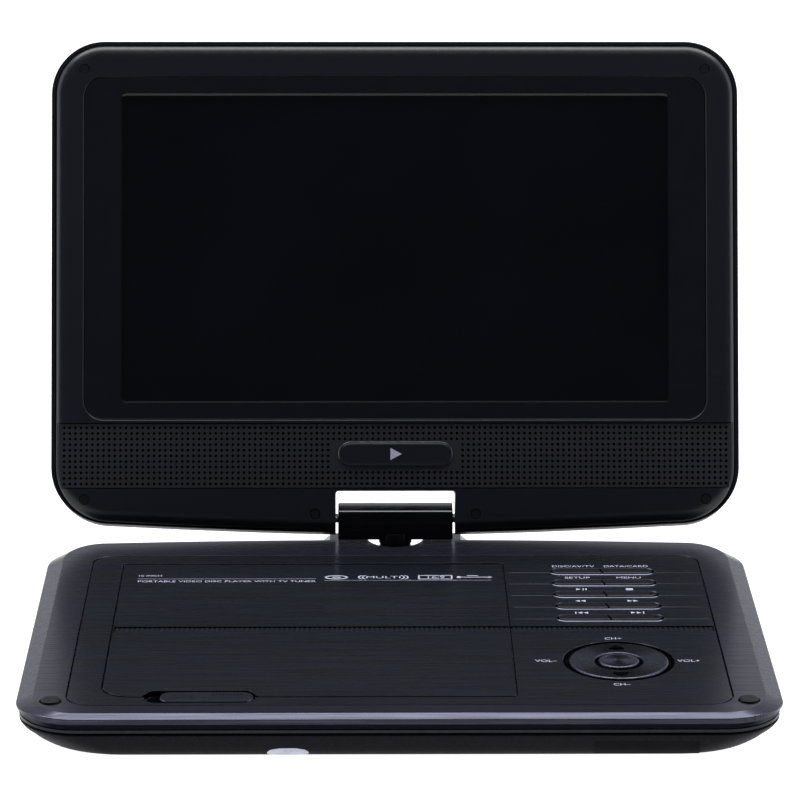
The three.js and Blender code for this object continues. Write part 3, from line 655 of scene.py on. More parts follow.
# patches that follow the front wall, whose points are (inset, height): a dark window for the
# remote control and a blank label that wraps under
patchSize = {
    "windowLeft": 70, "windowRight": 108,
    "windowWall": [(1.15, 10.4), (1.7, 8.2), (2.7, 6.2), (4.1, 4.6)],
    "labelMiddle": -40.6, "labelHalf": 7.6,
    "labelWall": [(1.9, 7.7), (2.2, 7.1), (2.7, 6.2), (3.4, 5.4), (4.1, 4.6), (5.2, 4.05), (6.3, 3.5)],
}


# spans are (left, right, inset from the front, height), going down the wall
def wallPatch(spans, thick, sunk):
    rings = []
    for i, (left, right, inset, up) in enumerate(spans):
        before, after = spans[max(i - 1, 0)], spans[min(i + 1, len(spans) - 1)]
        along = Vector((before[2] - after[2], after[3] - before[3])).normalized()
        out = Vector((-along.y, along.x))
        front = baseSize["front"] - inset
        near = (front + out.x * thick, up + out.y * thick)
        far = (front - out.x * sunk, up - out.y * sunk)
        rings.append([(left, *far), (right, *far), (right, *near), (left, *near)])
    return stack(rings)


def remoteWindow():
    s = patchSize
    return wallPatch(
        [(s["windowLeft"], s["windowRight"], inset, up) for inset, up in s["windowWall"]], 0.06, 0.4,
    )


def blankLabel():
    s = patchSize
    spans = []
    for i, (inset, up) in enumerate(s["labelWall"]):
        share = (i + 0.25) / (len(s["labelWall"]) - 0.5) * 2 - 1
        half = s["labelHalf"] * math.sqrt(max(1 - share * share, 0.02))
        spans.append((s["labelMiddle"] - half, s["labelMiddle"] + half, inset, up))
    return wallPatch(spans, 0.09, 0.1)


add(
    "remote_pane", remoteWindow(), looks["window"], "base", ["remote_window"],
    weighted=False,
)
add("blank_label", blankLabel(), looks["label"], "base", weighted=False)
add("trim_band", trimRing(), looks["trim"], "base", ["trim_ring"])
# the cover's rim material is lighter and lavender than the panel's, a painted highlight on the bevels
add(
    "top_cover", topShell(), looks["rim"], "base", ["top_shell"], sharp=15,
    walls=(-132, 132, 15, 192),
)
add("disc_deck", discDeck(), looks["well"], "base")
print("base shells ready")


# brushed panel with its openings, the groove of the ribbed strip and the fine lines beside the keys
lineSize = {"left": 44.5, "right": 120.0, "wide": 0.36, "deep": 0.16}


def ribs(left, right):  # fine ribs that run front to back, as one closed strip
    s = ribBand
    low, high = topZ - s["deep"] + 0.08, topZ - 0.4
    profile = []
    count = int((right - left) / s["pitch"])
    pitch = (right - left) / count
    for i in range(count):
        x = left + pitch * i
        profile += [(x, low), (x + pitch * 0.2, low), (x + pitch * 0.36, high), (x + pitch * 0.78, high)]
    profile += [(right, low), (right, low - 0.35), (left, low - 0.35)]
    return stack([onFront(profile, f) for f in (s["rear"] + 0.1, s["front"] - 0.1)])


def topPanel():
    s = panelSize
    sheet = plate(panelLoop(), [(-0.1, s["under"]), (-0.1, topZ - 0.12), (-0.22, topZ)])
    tools = [openTop(doorHole(), 0.55, 19), openTop(slotLoop(), 0, 19)]
    tools += [openTop(circle((ringSize["x"], ringSize["front"]), ringSize["recess"], 96), 0, 19, 0.15)]
    tools += [openTop(pillLoop(row), 0.3, 19, 0.3) for row in range(keySize["rows"])]
    tools.append(
        brick(
            doorSize["right"] - 1, ribBand["right"], ribBand["rear"], ribBand["front"],
            topZ - ribBand["deep"], 22,
        )
    )
    w = lineSize["wide"]
    for row in range(keySize["rows"]):
        line = keySize["first"] + keySize["pitch"] * row + 1.2
        for left, right in (
            (lineSize["left"], keySize["left"] + 0.5), (keySize["right"] - 0.5, lineSize["right"]),
        ):
            loop = [(left, line - w), (right, line - w), (right, line + w), (left, line + w)]
            tools.append(plate(loop, [(-0.3, topZ - lineSize["deep"]), (0, topZ), (0, 22)]))
    return carve(sheet, tools)


def discDoor():
    s = doorSize
    sheet = plate(doorLoop(), [(-0.05, s["under"]), (-0.05, topZ - 0.14), (-0.18, topZ)])
    band = brick(
        s["left"] + 0.35, s["right"] + 1, ribBand["rear"], ribBand["front"], topZ - ribBand["deep"], 22,
    )
    square = brick(s["left"] - 1, s["right"] + 1, s["rear"] - 1, s["hinge"], 18, 22)
    edge = turnedAcross(
        s["hinge"], 20,
        [(0.9, s["left"]), (1, s["left"] + 0.1), (1, s["right"] - 0.1), (0.9, s["right"])],
    )
    flat = carve(sheet, [square, band])
    return carve(flat, [edge], "UNION")


add(
    "control_panel", topPanel(), looks["brushed"], "base", ["top_panel"],
    walls=(-125, 125, 20, 190),
)
add(
    "disc_lid", discDoor(), looks["door"], "disc_door", ["disc_door"],
    walls=(-112, 45, 34, 182),
)
add(
    "panel_ribs", ribs(doorSize["right"] + 0.8, ribBand["right"] - 0.1), looks["groove"],
    "base", weighted=False,
)
add(
    "door_ribs", ribs(doorSize["left"] + 0.5, doorSize["right"] - 0.15), looks["groove"],
    "disc_door", weighted=False,
)
print("panel and door ready")


# slider that opens the door
def openSlider():
    s = sliderSize
    loop = roundRect(s["left"], s["right"], s["rear"], s["front"], 4.2, 8)
    body = plate(
        loop,
        [
            (0, 19.5), (0, s["top"] - 0.5), (-0.25, s["top"] - 0.12), (-0.6, s["top"] - 0.05),
            (-1.2, s["top"] - 0.05),
        ],
    )
    tools = []
    for i in range(s["ribs"]):
        x = s["right"] - 4.4 - 1.3 * i
        tools.append(brick(x - 0.3, x + 0.3, s["rear"] + 2, s["front"] - 2, s["top"] - 0.3, 22))
    return carve(body, tools)


add("catch_slider", openSlider(), looks["slider"], "open_slider", ["open_slider"])
lettering(
    "catch_word", "OPEN", 2.9, (-77.5, 179.3, sliderSize["top"] - 0.03), looks["slider"], "open_slider",
    wide=1.35, raised=0.08,
)


# keys: each row is a pill in two halves with a slanted split, a gap before it over a sheet of painted
# shade and a raised lip round its front whose lighter colour is a painted highlight
keyShape = {"gapFront": 1.9, "gapEnd": 0.5, "slant": 0.9, "split": 0.4, "lipWide": 0.55, "lipHigh": 0.3}


def keyHalf(row, right):
    s, k = keySize, keyShape
    middle = s["first"] + s["pitch"] * row
    rear, front = middle - s["depth"] / 2, middle + s["depth"] / 2 - k["gapFront"]
    radius = (front - rear) / 2 - 0.05
    loop = roundRect(s["left"] + k["gapEnd"], s["right"] - k["gapEnd"], rear + 0.1, front, radius, 10)
    top = s["top"] - 0.3
    pill = plate(
        loop,
        [
            (0, s["bottom"]), (0, top - 0.5), (-0.12, top - 0.2), (-0.4, top - 0.04), (-0.8, top),
            (-1.6, top - 0.03),
        ],
    )
    split = (s["left"] + s["right"]) / 2 - 0.2
    near, far = middle - 6, middle + 6
    shift = k["split"] if right else -k["split"]
    a, b = split + shift - k["slant"] * 1.6, split + shift + k["slant"] * 1.6
    away = 40 if right else 120
    return carve(pill, [plate([(away, near), (a, near), (b, far), (away, far)], [(0, 10), (0, 30)])])


def keyLip(row):  # stands proud at the front of the opening and sinks away towards its rear
    k = keyShape
    middle = keySize["first"] + keySize["pitch"] * row
    rings = []
    for g, share in (
        (0.3, -1), (0.34, 0.6), (0.3 + k["lipWide"] * 0.5, 1), (0.3 + k["lipWide"], 0.35),
        (0.3 + k["lipWide"], -1),
    ):
        ring = []
        for x, f in grow(pillLoop(row), g):
            fade = min(max((f - middle + 2.6) / 4.5, 0), 1)
            high = topZ - 0.35 + (0.35 + k["lipHigh"] * share) * fade if share > 0 else topZ - 0.6
            ring.append((x, f, high))
        rings.append(ring)
    return stack(rings, cups=False)


for row in range(keySize["rows"]):
    for side, right in (("left", False), ("right", True)):
        name = f"key_{side}_{row + 1}"
        add(f"button_{side}_{row + 1}", keyHalf(row, right), looks["key"], name, [name])
# the lips take the lighter material: painted highlight along the key fronts
add(
    "key_lips", joined([keyLip(row) for row in range(keySize["rows"])]), looks["lipGlint"],
    "base", sharp=50,
)
# near-black sheets under the key openings and the slider slot: painted shade
keyShadeSheets = joined([plate(pillLoop(row), [(0.25, 16.7), (0.25, 16.95)]) for row in range(keySize["rows"])])
add("key_shade_sheets", keyShadeSheets, looks["hole"], "base")
slotShadeSheet = plate(slotLoop(), [(-0.6, 19.22), (-0.6, 19.4)])
add("slot_shade_sheet", slotShadeSheet, looks["hole"], "base")
ringSpot = (ringSize["x"], ringSize["front"])
# near-black sheet at the bottom of the ring's moat: painted shade
moat = [
    onLevel(circle(ringSpot, r, 64), up)
    for r, up in ((19.3, 20.25), (19.3, 20.35), (20.6, 20.35), (20.6, 20.25))
]
add("ring_shade_sheet", stack(moat, cups=False), looks["hole"], "base")


# ring and its middle button
def navRing():
    s = ringSize
    r, i = s["outer"], s["inner"]
    outline = [
        (r, 18), (r, topZ - 0.5), (r - 0.15, topZ - 0.15), (r - 0.5, topZ + 0.1), (r - 1.0, topZ + 0.2),
        (r - 1.6, topZ + 0.14),
    ]
    outline += [
        (i + 1.4, topZ - 0.12), (i + 0.7, topZ - 0.05), (i + 0.25, topZ - 0.2), (i, topZ - 0.6), (i, 18),
    ]
    rings = [onLevel(circle((s["x"], s["front"]), radius, 96), up) for radius, up in outline]
    return stack(rings, cups=False)


def okButton():
    s = ringSize
    r, top = s["button"], topZ + 0.5
    outline = [
        (r, 17.8), (r, top - 0.7), (r - 0.15, top - 0.35), (r - 0.5, top - 0.12), (r - 1.1, top - 0.05),
        (r - 1.5, top - 0.2),
    ]
    outline += [(r - 2.6, top - 0.3), (r - 4.5, top - 0.12), (1.2, top), (0.3, top)]
    return turned((s["x"], s["front"]), outline, 96)


def trianglePrism(x, f, wide, deep, low, high):
    return stack([
        [(x - wide / 2, f, up), (x + wide / 2, f, up), (x, f + deep, up)]
        for up in (low, high)
    ])


add("ring_pad", navRing(), looks["ring"], "nav_ring", ["nav_ring"], sharp=40)
add("ok_pad", okButton(), looks["ok"], "ok_button", ["ok_button"], sharp=40)
arrows = [
    trianglePrism(ringSize["x"], ringSize["front"] + side * 12.6, 5.6, side * 3.2, 20.9, 21.36)
    for side in (-1, 1)
]
add("ring_arrows", joined(arrows), looks["darkMark"], "nav_ring", weighted=False)


# rubber bumpers and feet
for side, name in ((-1, "left"), (1, "right")):
    spot = (side * bumperSize["x"], bumperSize["front"])
    outline = [
        (3.3, 20.2), (3.6, 20.4), (3.65, 21.2), (3.45, 21.6), (2.9, 21.78), (1.5, 21.72), (0.4, 21.7),
    ]
    add(
        "stop_" + name, turned(spot, outline, 40), looks["rubber"], "base",
        ["bumper_" + name], sharp=45,
    )
footSize = {"left": -112, "right": 112, "rear": 26, "front": 172}
for along in ("rear", "front"):
    for across in ("left", "right"):
        outline = [(5.2, 0.0), (5.7, 0.15), (6, 0.6), (6, 2.1), (5.8, 2.5)]
        pad = turned((footSize[across], footSize[along]), outline, 40)
        add(
            f"pad_{along}_{across}", pad, looks["rubber"], "base",
            [f"foot_{along}_{across}"], sharp=45,
        )
print("controls ready")


# printing on the top: plain function words and signs
printLevel = topZ + 0.03
words = [  # name, words, height, across, front, widening
    ("vol_down", "VOL\u2013", 2.5, 54.9, 142.3, 1.0),
    ("vol_up", "VOL+", 2.5, 108.2, 142.5, 1.0),
    ("ch_up", "CH+", 2.4, 81.4, 118.5, 1.0),
    ("ch_down", "CH\u2013", 2.4, 81.6, 166.8, 1.0),
    ("source", "DISC/AV/TV", 2.2, 70.6, 35.6, 1.08),
    ("card", "DATA/CARD", 2.2, 91.8, 35.6, 1.04),
    ("setup", "SETUP", 2.2, 71.6, 49.3, 1.2),
    ("menu", "MENU", 2.2, 92.0, 49.3, 1.2),
]
for name, text, high, x, front, wide in words:
    lettering("word_" + name, text, high, (x, front, printLevel), looks["mark"], "base", wide=wide)
kind = "PORTABLE VIDEO DISC PLAYER WITH TV TUNER"
lettering(
    "word_kind", kind, 2.1, (-102.4, 53.0, printLevel), looks["mark"], "disc_door", wide=1.11, left=True,
)
lettering(
    "word_size", "10 INCH", 1.8, (-102.6, 46.4, printLevel), looks["mark"], "disc_door", wide=1.05,
    left=True,
)


def flatShape(points, low=printLevel - 0.02, high=printLevel + 0.03):
    return stack([onLevel(points, up) for up in (low, high)])


def sign(kind, x, f):  # small transport signs made of triangles and bars
    h = 1.1
    right = lambda s: flatShape([(s, f - h), (s, f + h), (s + 1.9, f)])
    left = lambda s: flatShape([(s, f - h), (s, f + h), (s - 1.9, f)])
    bar = lambda s, w=0.5: flatShape([(s, f - h), (s + w, f - h), (s + w, f + h), (s, f + h)])
    shapes = {
        "play": lambda: [right(x - 2.2), bar(x + 0.4), bar(x + 1.5)],
        "stop": lambda: [bar(x - 1.4, 2.8)],
        "back": lambda: [left(x), left(x + 2.2)],
        "on": lambda: [right(x - 2.2), right(x)],
        "first": lambda: [bar(x - 2.8), left(x), left(x + 2.2)],
        "last": lambda: [right(x - 2.4), right(x - 0.2), bar(x + 2.2)],
    }
    return shapes[kind]()


signs = [
    ("play", 72.6, 2), ("stop", 91.4, 2), ("back", 71.2, 3), ("on", 92.0, 3), ("first", 71.4, 4),
    ("last", 92.6, 4),
]
signMeshes = []
for kind, x, row in signs:
    signMeshes += sign(kind, x, keySize["first"] + keySize["pitch"] * row - 5.6)
add("key_signs", joined(signMeshes), looks["mark"], "base", weighted=False)


def frameShape(loop, wide):  # a thin outline
    low, high = printLevel - 0.02, printLevel + 0.03
    outer, inner = grow(loop, 0), grow(loop, -wide)
    return stack(
        [onLevel(part, up) for part, up in ((outer, low), (outer, high), (inner, high), (inner, low))],
        cups=False,
    )


def doorSigns():  # plain signs: a disc, a set of waves, a wide picture and a plug
    f = 48.4
    parts = []
    for wide, thick in ((4.6, 0.75), (1.7, 0.5)):
        loop = arc((-23.8, f), (wide, wide * 0.52), 0, 360, 32)[:-1]
        parts.append(frameShape(loop, thick))
    for way in (-1, 1):
        for k in (0, 1):
            ends = [
                (-5.2 + way * (8.6 + 1.5 * k - 1.3 * abs(t) ** 2), f + 2.3 * t)
                for t in (-1, -0.5, 0, 0.5, 1)
            ]
            parts.append(flatShape(ends + [(x - way * 0.6, y) for x, y in ends[::-1]]))
    parts.append(frameShape(roundRect(8.6, 22.2, f - 2.4, f + 2.4, 0.4, 2), 0.6))
    parts += [
        flatShape([(25.0, f - 0.3), (37.2, f - 0.3), (37.2, f + 0.3), (25.0, f + 0.3)]),
        flatShape(circle((24.9, f), 1.1, 20)),
    ]
    parts += [
        flatShape([(36.4, f - 1.2), (36.4, f + 1.2), (38.0, f)]),
        flatShape([(28, f - 2.2), (32.4, f - 2.2), (32.4, f - 1.6), (28, f - 1.6)]),
    ]
    return joined(parts)


lettering("sign_multi", "MULTI", 2.7, (-5.2, 48.4, printLevel), looks["mark"], "disc_door", wide=1.35)
lettering("sign_wide", "16:9", 2.5, (15.4, 48.4, printLevel), looks["mark"], "disc_door", wide=1.3)
add("door_signs", doorSigns(), looks["mark"], "disc_door", weighted=False)
rule = joined(
    [
        flatShape([(-102.4, 49.9), (-31.8, 49.9), (-31.8, 50.1), (-102.4, 50.1)]),
        flatShape([(-28.6, 51.9), (37.4, 51.9), (37.4, 52.1), (-28.6, 52.1)]),
    ]
)
add("door_rule", rule, looks["mark"], "disc_door", weighted=False)
print("printing ready")


# right side: jacks, card slot and switch
def jack(front, half, hole):
    m = sidePorts
    loop = roundRect(front - half, front + half, m["low"], m["high"], 0.6, 4)
    body = stack([
        onSide(grow(loop, g), x)
        for g, x in ((0, m["back"]), (0, m["mouth"] - 0.3), (-0.25, m["mouth"]))
    ])
    bore = turnedAcross(
        front, m["middle"], [(hole, 127), (hole, 136.0), (hole + 0.35, 136.5), (hole + 0.35, 138)], 32,
    )
    return carve(body, [bore])


def jackRing(front, hole):
    shape = [(0.9, -0.1), (1.1, 0.05), (0.9, 0.2), (0.3, 0.2), (0.1, 0.05), (0.1, -0.1)]
    profile = [(hole + wide, sidePorts["mouth"] + out) for wide, out in shape]
    rings = [onSide(circle((front, sidePorts["middle"]), radius, 32), x) for radius, x in profile]
    return stack(rings, cups=False)


for name, front, half, hole in (
    ("dc_jack", 30, 4.2, 1.8), ("phones_jack", 46, 3.2, 1.8), ("av_jack", 58, 3.2, 1.8),
):
    add(name + "_body", jack(front, half, hole), looks["port"], "base", [name])
    add(name + "_ring", jackRing(front, hole), looks["steel"], "base", sharp=50)
add(
    "dc_pin", turnedAcross(30, 10.4, [(0.5, 127.2), (0.5, 135), (0.25, 135.4)], 16), looks["steel"],
    "base",
)


usbSize = {"front": 76, "half": 7, "wall": 0.7, "wallHigh": 0.4}


def usbSocket():
    m, u = sidePorts, usbSize
    shell = roundRect(u["front"] - u["half"], u["front"] + u["half"], m["low"], m["high"], 0.7, 4)
    body = stack([onSide(shell, x) for x in (m["back"], m["mouth"])])
    inside = u["half"] - u["wall"]
    low, high = m["low"] + u["wallHigh"], m["high"] - u["wallHigh"]
    mouth = roundRect(u["front"] - inside, u["front"] + inside, low, high, 0.4, 3)
    return carve(body, [stack([onSide(mouth, x) for x in (m["back"] + 2, m["mouth"] + 1.6)])])


add("usb_shell", usbSocket(), looks["steel"], "base", ["usb_port"])
add("usb_tongue", brick(126.2, 135.4, 70.5, 81.5, 10.1, 11.6, 0.2), looks["port"], "base")


def switchKnob():
    body = brick(128, 137.6, 95, 101, 9.2, 11.4, 0.3)
    ridges = [brick(137.2, 139, 96.2 + 1.4 * i, 96.8 + 1.4 * i, 9, 12) for i in range(3)]
    return carve(body, ridges)


add("switch_knob", switchKnob(), looks["port"], "power_switch", ["power_switch"])
print("side sockets ready")

# hinge: two gloss covers round a turned neck
hingeSize = {"half": 23.3, "depth": 11.2, "bottom": 22, "top": 34.6, "bevel": 0.9}


def hingeCover(front):
    s = hingeSize
    b = s["bevel"]
    near, far = (0.15, s["depth"] / 2) if front else (-s["depth"] / 2, -0.15)
    outer = far if front else near
    inner = near if front else far
    way = 1 if front else -1
    section = [
        (inner, s["bottom"]), (outer - way * 0.5, s["bottom"]), (outer, s["bottom"] + 0.5),
        (outer, s["top"] - b),
    ]
    section += [
        (outer - way * 0.1, s["top"] - b * 0.55), (outer - way * 0.75 * b, s["top"] - 0.1),
        (outer - way * b * 1.2, s["top"]), (inner, s["top"]),
    ]
    ends = [(-s["half"], 0.35), (-s["half"] + 0.35, 0), (s["half"] - 0.35, 0), (s["half"], 0.35)]
    if not front:
        section = section[::-1]
    rings = [onSide(grow(section, -g), x) for x, g in ends]
    tools = [
        turned((0, 0), [(7.05, 15), (7.05, 24.8)]), brick(-10.3, 10.3, -3.1, 3.1, 20, s["top"] - 2.7),
    ]
    for side in (-1, 1):
        ends = sorted((side * 12.2, side * 30))
        tools.append(turnedAcross(0, tiltZ, [(2.1, ends[0]), (2.1, ends[1])], 24))
    return carve(stack(rings), tools)


neckProfile = [
    (6.4, 4.8), (6.75, 5.1), (6.75, 11.4), (6.2, 11.6), (6.2, 12.2), (6.75, 12.4), (6.75, 17.5),
    (6.3, 17.8), (6.3, 19.4), (6.75, 19.7), (6.75, 24.5),
]


def hingeNeck():
    head = brick(-10, 10, -2.8, 2.8, 24.4, 31.6, 0.3)
    return carve(
        carve(turned((0, 0), neckProfile, 48), [head], "UNION"),
        [turnedAcross(0, tiltZ, [(1.2, -11), (1.2, 11)], 16)],
    )


add("hinge_face", hingeCover(True), looks["block"], "hinge_block", ["hinge_front_cover"])
add("hinge_back", hingeCover(False), looks["block"], "hinge_block", ["hinge_rear_cover"])
add("hinge_neck", hingeNeck(), looks["neck"], "hinge_block", ["swivel_shaft"])
print("hinge ready")

# lid: its bottom edge is round about the tilt axis
lidSize = {
    "half": 140, "deep": 7.25, "top": 194.6, "bottom": -7.25, "bottomSide": -3.4, "topCorner": 21.7,
    "bottomCorner": 24,
}
cutSize = {"half": 24.3, "top": 11.1, "corner": 1.2}


def lidRing(inset, out, floorInset=None):
    s = lidSize
    under = s["deep"] - math.sqrt(max(s["deep"] ** 2 - out**2, 0))
    under = max(under, inset if floorInset is None else floorInset)
    bend, topBend = s["half"] - s["bottomCorner"], s["half"] - s["topCorner"]
    side = s["bottomSide"] + under
    middle = s["bottom"] + under
    points = [(bend * i / 8, side + (middle - side) * (1 - (i / 8) ** 1.6)) for i in range(8)]
    points += arc(
        (bend, s["bottomSide"] + s["bottomCorner"]),
        (s["bottomCorner"] - inset, s["bottomCorner"] - under), -90, 0, 16,
    )
    points += [(s["half"] - inset, 60), (s["half"] - inset, 120)]
    points += arc(
        (topBend, s["top"] - s["topCorner"]), (s["topCorner"] - inset, s["topCorner"] - inset), 0, 90, 16,
    )
    points += [(topBend * 0.5, s["top"] - inset), (0, s["top"] - inset)]
    return onFront(mirrored(points), out)


def hingeCutTools():
    s = cutSize
    corners = [
        (-s["half"], -20, 0), (s["half"], -20, 0), (s["half"], s["top"], s["corner"]),
        (-s["half"], s["top"], s["corner"]),
    ]
    tools = [upright(fillet(corners, 5), [(0, -20), (0, 20)])]
    for side in (-1, 1):
        ends = sorted((side * 23, side * 34.4))
        tools.append(turnedAcross(0, 0, [(2.1, ends[0]), (2.1, ends[1])], 24))
    return tools


backSize = {
    "screws": ((-120, 14), (120, 14), (-120, 180), (120, 180)),
    "field": (-104, 104, 34, 168, 9),  # left, right, low, high and corner of the sunk line
    "slots": 14,
    "slotsStart": 46,
    "slotPitch": 4,
}


def lidBack():
    outside = [
        (7.5, -7.25), (5.2, -7.15), (3.4, -6.8), (1.8, -6.0), (0.8, -4.9), (0.2, -3.4), (0, -1.8),
        (0, 3.8), (0.25, 4.15), (0.5, 4.2),
    ]
    inside = [(1.6, 4.2), (1.7, 3.9), (1.7, 0.0), (3.2, -0.1), (3.4, -5.25)]
    rings = [lidRing(inset, out) for inset, out in outside] + [
        lidRing(inset, out, inset)
        for inset, out in inside
    ]
    shell = stack(rings)
    tools = hingeCutTools()
    for x, up in backSize["screws"]:
        tools.append(turnedOut((x, up), [(3.1, -9), (3.1, -6.9), (2.9, -6.0)]))
    field = roundRect(*backSize["field"], 8)
    line = [onFront(grow(field, g), out) for g, out in ((0, -8), (0, -6.85), (-0.6, -6.85), (-0.6, -8))]
    tools.append(stack(line, cups=False))
    for i in range(backSize["slots"]):  # sound slots
        for side in (-1, 1):
            x = side * (backSize["slotsStart"] + backSize["slotPitch"] * i)
            tools.append(upright(roundRect(x - 0.7, x + 0.7, 16, 27, 0.65, 3), [(0, -9), (0, -6.4)]))
    return carve(shell, tools)


bezelCut = {"frame": (126.7, 39.9, 179.8, 8.3), "grille": (12.0, 38.8)}


def grilleLoop(shrink, low, high):  # the grille follows the lid's rounded lower corners
    s = lidSize
    radius = s["bottomCorner"] - shrink
    centreX, centreUp = s["half"] - s["bottomCorner"], s["bottomSide"] + s["bottomCorner"]
    points = [(0, low), (110, low)]
    for i in range(7):
        up = low + (centreUp - low) * i / 6
        points.append((centreX + math.sqrt(radius**2 - (centreUp - up) ** 2), up))
    points += [(s["half"] - shrink, (centreUp + high) / 2), (s["half"] - shrink, high), (0, high)]
    return mirrored(points)


def lidBezel():
    outside = [
        (2.0, 0.15), (2.0, 4.6), (2.15, 5.3), (2.6, 6.0), (3.3, 6.55), (4.3, 6.95), (5.6, 7.17),
        (7.2, 7.25),
    ]
    shell = stack([lidRing(inset, out) for inset, out in outside])
    half, low, high, corner = bezelCut["frame"]
    tools = hingeCutTools()
    loop = roundRect(-half, half, low, high, corner, 10)
    tools.append(upright(loop, [(0, 5.0), (0, 7.0), (0.25, 7.3), (0.25, 9)]))
    tools.append(upright(roundRect(-119, 119, 42, 178, 3, 3), [(0, -1), (0, 9)]))
    tools.append(upright(grilleLoop(2.6, *bezelCut["grille"]), [(0, 5.0), (0, 9)]))
    for side in (-1, 1):
        ends = sorted((side * 118, side * 66))
        tools.append(upright(roundRect(ends[0], ends[1], 13.5, 37.5, 3, 3), [(0, -1), (0, 9)]))
        for x, up in capPlaces:
            tools.append(turnedOut((side * x, up), [(2.2, 6.2), (2.2, 7.1), (2.35, 7.3), (2.35, 9)]))
    return carve(shell, tools)


capPlaces = [(126.4, 183.0), (126.2, 7.6), (32.6, 1.6)]
add("lid_back", lidBack(), looks["lidBack"], "lid", ["lid_back_shell"], lidPlace)
add("lid_bezel", lidBezel(), looks["bezel"], "lid", ["lid_front_bezel"], lidPlace)


screenSize = {
    "frame": (-126.4, 126.4, 40.2, 179.6, 8),  # left, right, low, high and corner
    "opening": (-111, 111, 47.7, 172.3, 1.5),
    "display": (-118.4, 118.4, 44.2, 175.6, 1),
}


def screenFrame():  # a gloss frame whose opening slopes in to the display
    outer = roundRect(*screenSize["frame"], 10)
    inner = roundRect(*screenSize["opening"], 10)
    rings = [
        onFront(grow(outer, g), out)
        for g, out in ((0, 5.3), (0, 6.75), (-0.12, 6.93), (-0.4, 7.0))
    ]
    rings += [
        onFront(grow(inner, g), out)
        for g, out in ((0.75, 7.0), (0.5, 6.9), (0.0, 5.35), (0, 5.3))
    ]
    return stack(rings, cups=False)


add(
    "screen_surround", screenFrame(), looks["frame"], "lid", ["screen_frame"], lidPlace,
    sharp=25,
)
display = upright(roundRect(*screenSize["display"], 3), [(0, 1.5), (0, 4.9), (-0.1, 5.0)])
add("display_glass", display, looks["screen"], "lid", ["screen_panel"], lidPlace)

# grille: real punched holes whose floors take the near-black dark gap material as painted shade
grilleSize = {
    "pitch": 2.28, "columns": 119, "rows": 11, "hole": 0.62, "middle": 25.4, "face": 6.6, "deep": 0.7,
    "badgeHalf": 26.2, "badgeHigh": 6.1, "badgeMiddle": 26.05,
}


def punchedGrille():
    s = grilleSize
    mesh = bmesh.new()
    p = s["pitch"]
    left, low = -p * s["columns"] / 2, s["middle"] - p * s["rows"] / 2
    made = {}

    def vert(x, out, up):
        key = (round(x, 3), round(out, 3), round(up, 3))
        if key not in made:
            made[key] = mesh.verts.new(at(x, out, up))
        return made[key]

    sides = [(-0.5, -0.5), (0, -0.5), (0.5, -0.5), (0.5, 0), (0.5, 0.5), (0, 0.5), (-0.5, 0.5), (-0.5, 0)]
    for row in range(s["rows"]):
        for column in range(s["columns"]):
            x, up = left + p * (column + 0.5), low + p * (row + 0.5)
            square = [vert(x + a * p, s["face"], up + b * p) for a, b in sides]
            if abs(x) < s["badgeHalf"] and abs(up - s["badgeMiddle"]) < s["badgeHigh"]:
                mesh.faces.new(square)
                continue
            hole = []
            for a, b in sides:
                turn = math.atan2(b, a)
                hole.append((x + s["hole"] * math.cos(turn), up + s["hole"] * math.sin(turn)))
            top = [vert(a, s["face"], b) for a, b in hole]
            sunk = [vert(a, s["face"] - s["deep"], b) for a, b in hole]
            for i in range(8):
                j = (i + 1) % 8
                mesh.faces.new((square[i], square[j], top[j], top[i]))
                mesh.faces.new((top[i], top[j], sunk[j], sunk[i]))
            # the hole's floor takes the dark gap material: painted shade
            floor = mesh.faces.new(sunk)
            floor.material_index = 1
    right, high = left + p * s["columns"], low + p * s["rows"]
    across = [left + p * i / 2 for i in range(s["columns"] * 2 + 1)]
    rise = [low + p * i / 2 for i in range(s["rows"] * 2 + 1)]
    field = [(x, low) for x in across] + [(right, up) for up in rise[1:]]
    field += [(x, high) for x in across[-2::-1]] + [(left, up) for up in rise[-2:0:-1]]
    inner = [vert(x, s["face"], up) for x, up in field]
    outline = grilleLoop(2.9, bezelCut["grille"][0] + 0.25, bezelCut["grille"][1] - 0.25)
    rims = [
        [mesh.verts.new(at(x, out, up)) for x, up in grow(outline, g)]
        for g, out in ((-0.2, s["face"]), (0, s["face"] - 0.2), (0, 5.3))
    ]
    edges = []
    for loop in (rims[0], inner):
        for i in range(len(loop)):
            pair = (loop[i], loop[(i + 1) % len(loop)])
            edges.append(mesh.edges.get(pair) or mesh.edges.new(pair))
    bmesh.ops.triangle_fill(mesh, edges=edges, use_beauty=True)
    for a, b in zip(rims, rims[1:]):
        for i in range(len(a)):
            j = (i + 1) % len(a)
            mesh.faces.new((a[i], a[j], b[j], b[i]))
    mesh.faces.new(rims[-1])
    return mesh


grille = add(
    "grille_plate", punchedGrille(), looks["grille"], "lid", ["speaker_grille"], lidPlace,
    weighted=False,
)
# second slot: the dark gap material, painted shade on the hole floors
grille.data.materials.append(looks["hole"])


badgeSize = {"half": 23.2, "low": 21.05, "high": 31.05, "corner": 4.95}


def badgePiece():
    s = badgeSize
    loop = roundRect(-s["half"], s["half"], s["low"], s["high"], s["corner"], 12)
    return upright(loop, [(0, 6.65), (0, 7.1), (-0.25, 7.35), (-0.6, 7.38), (-0.9, 7.25), (-1.3, 7.2)])


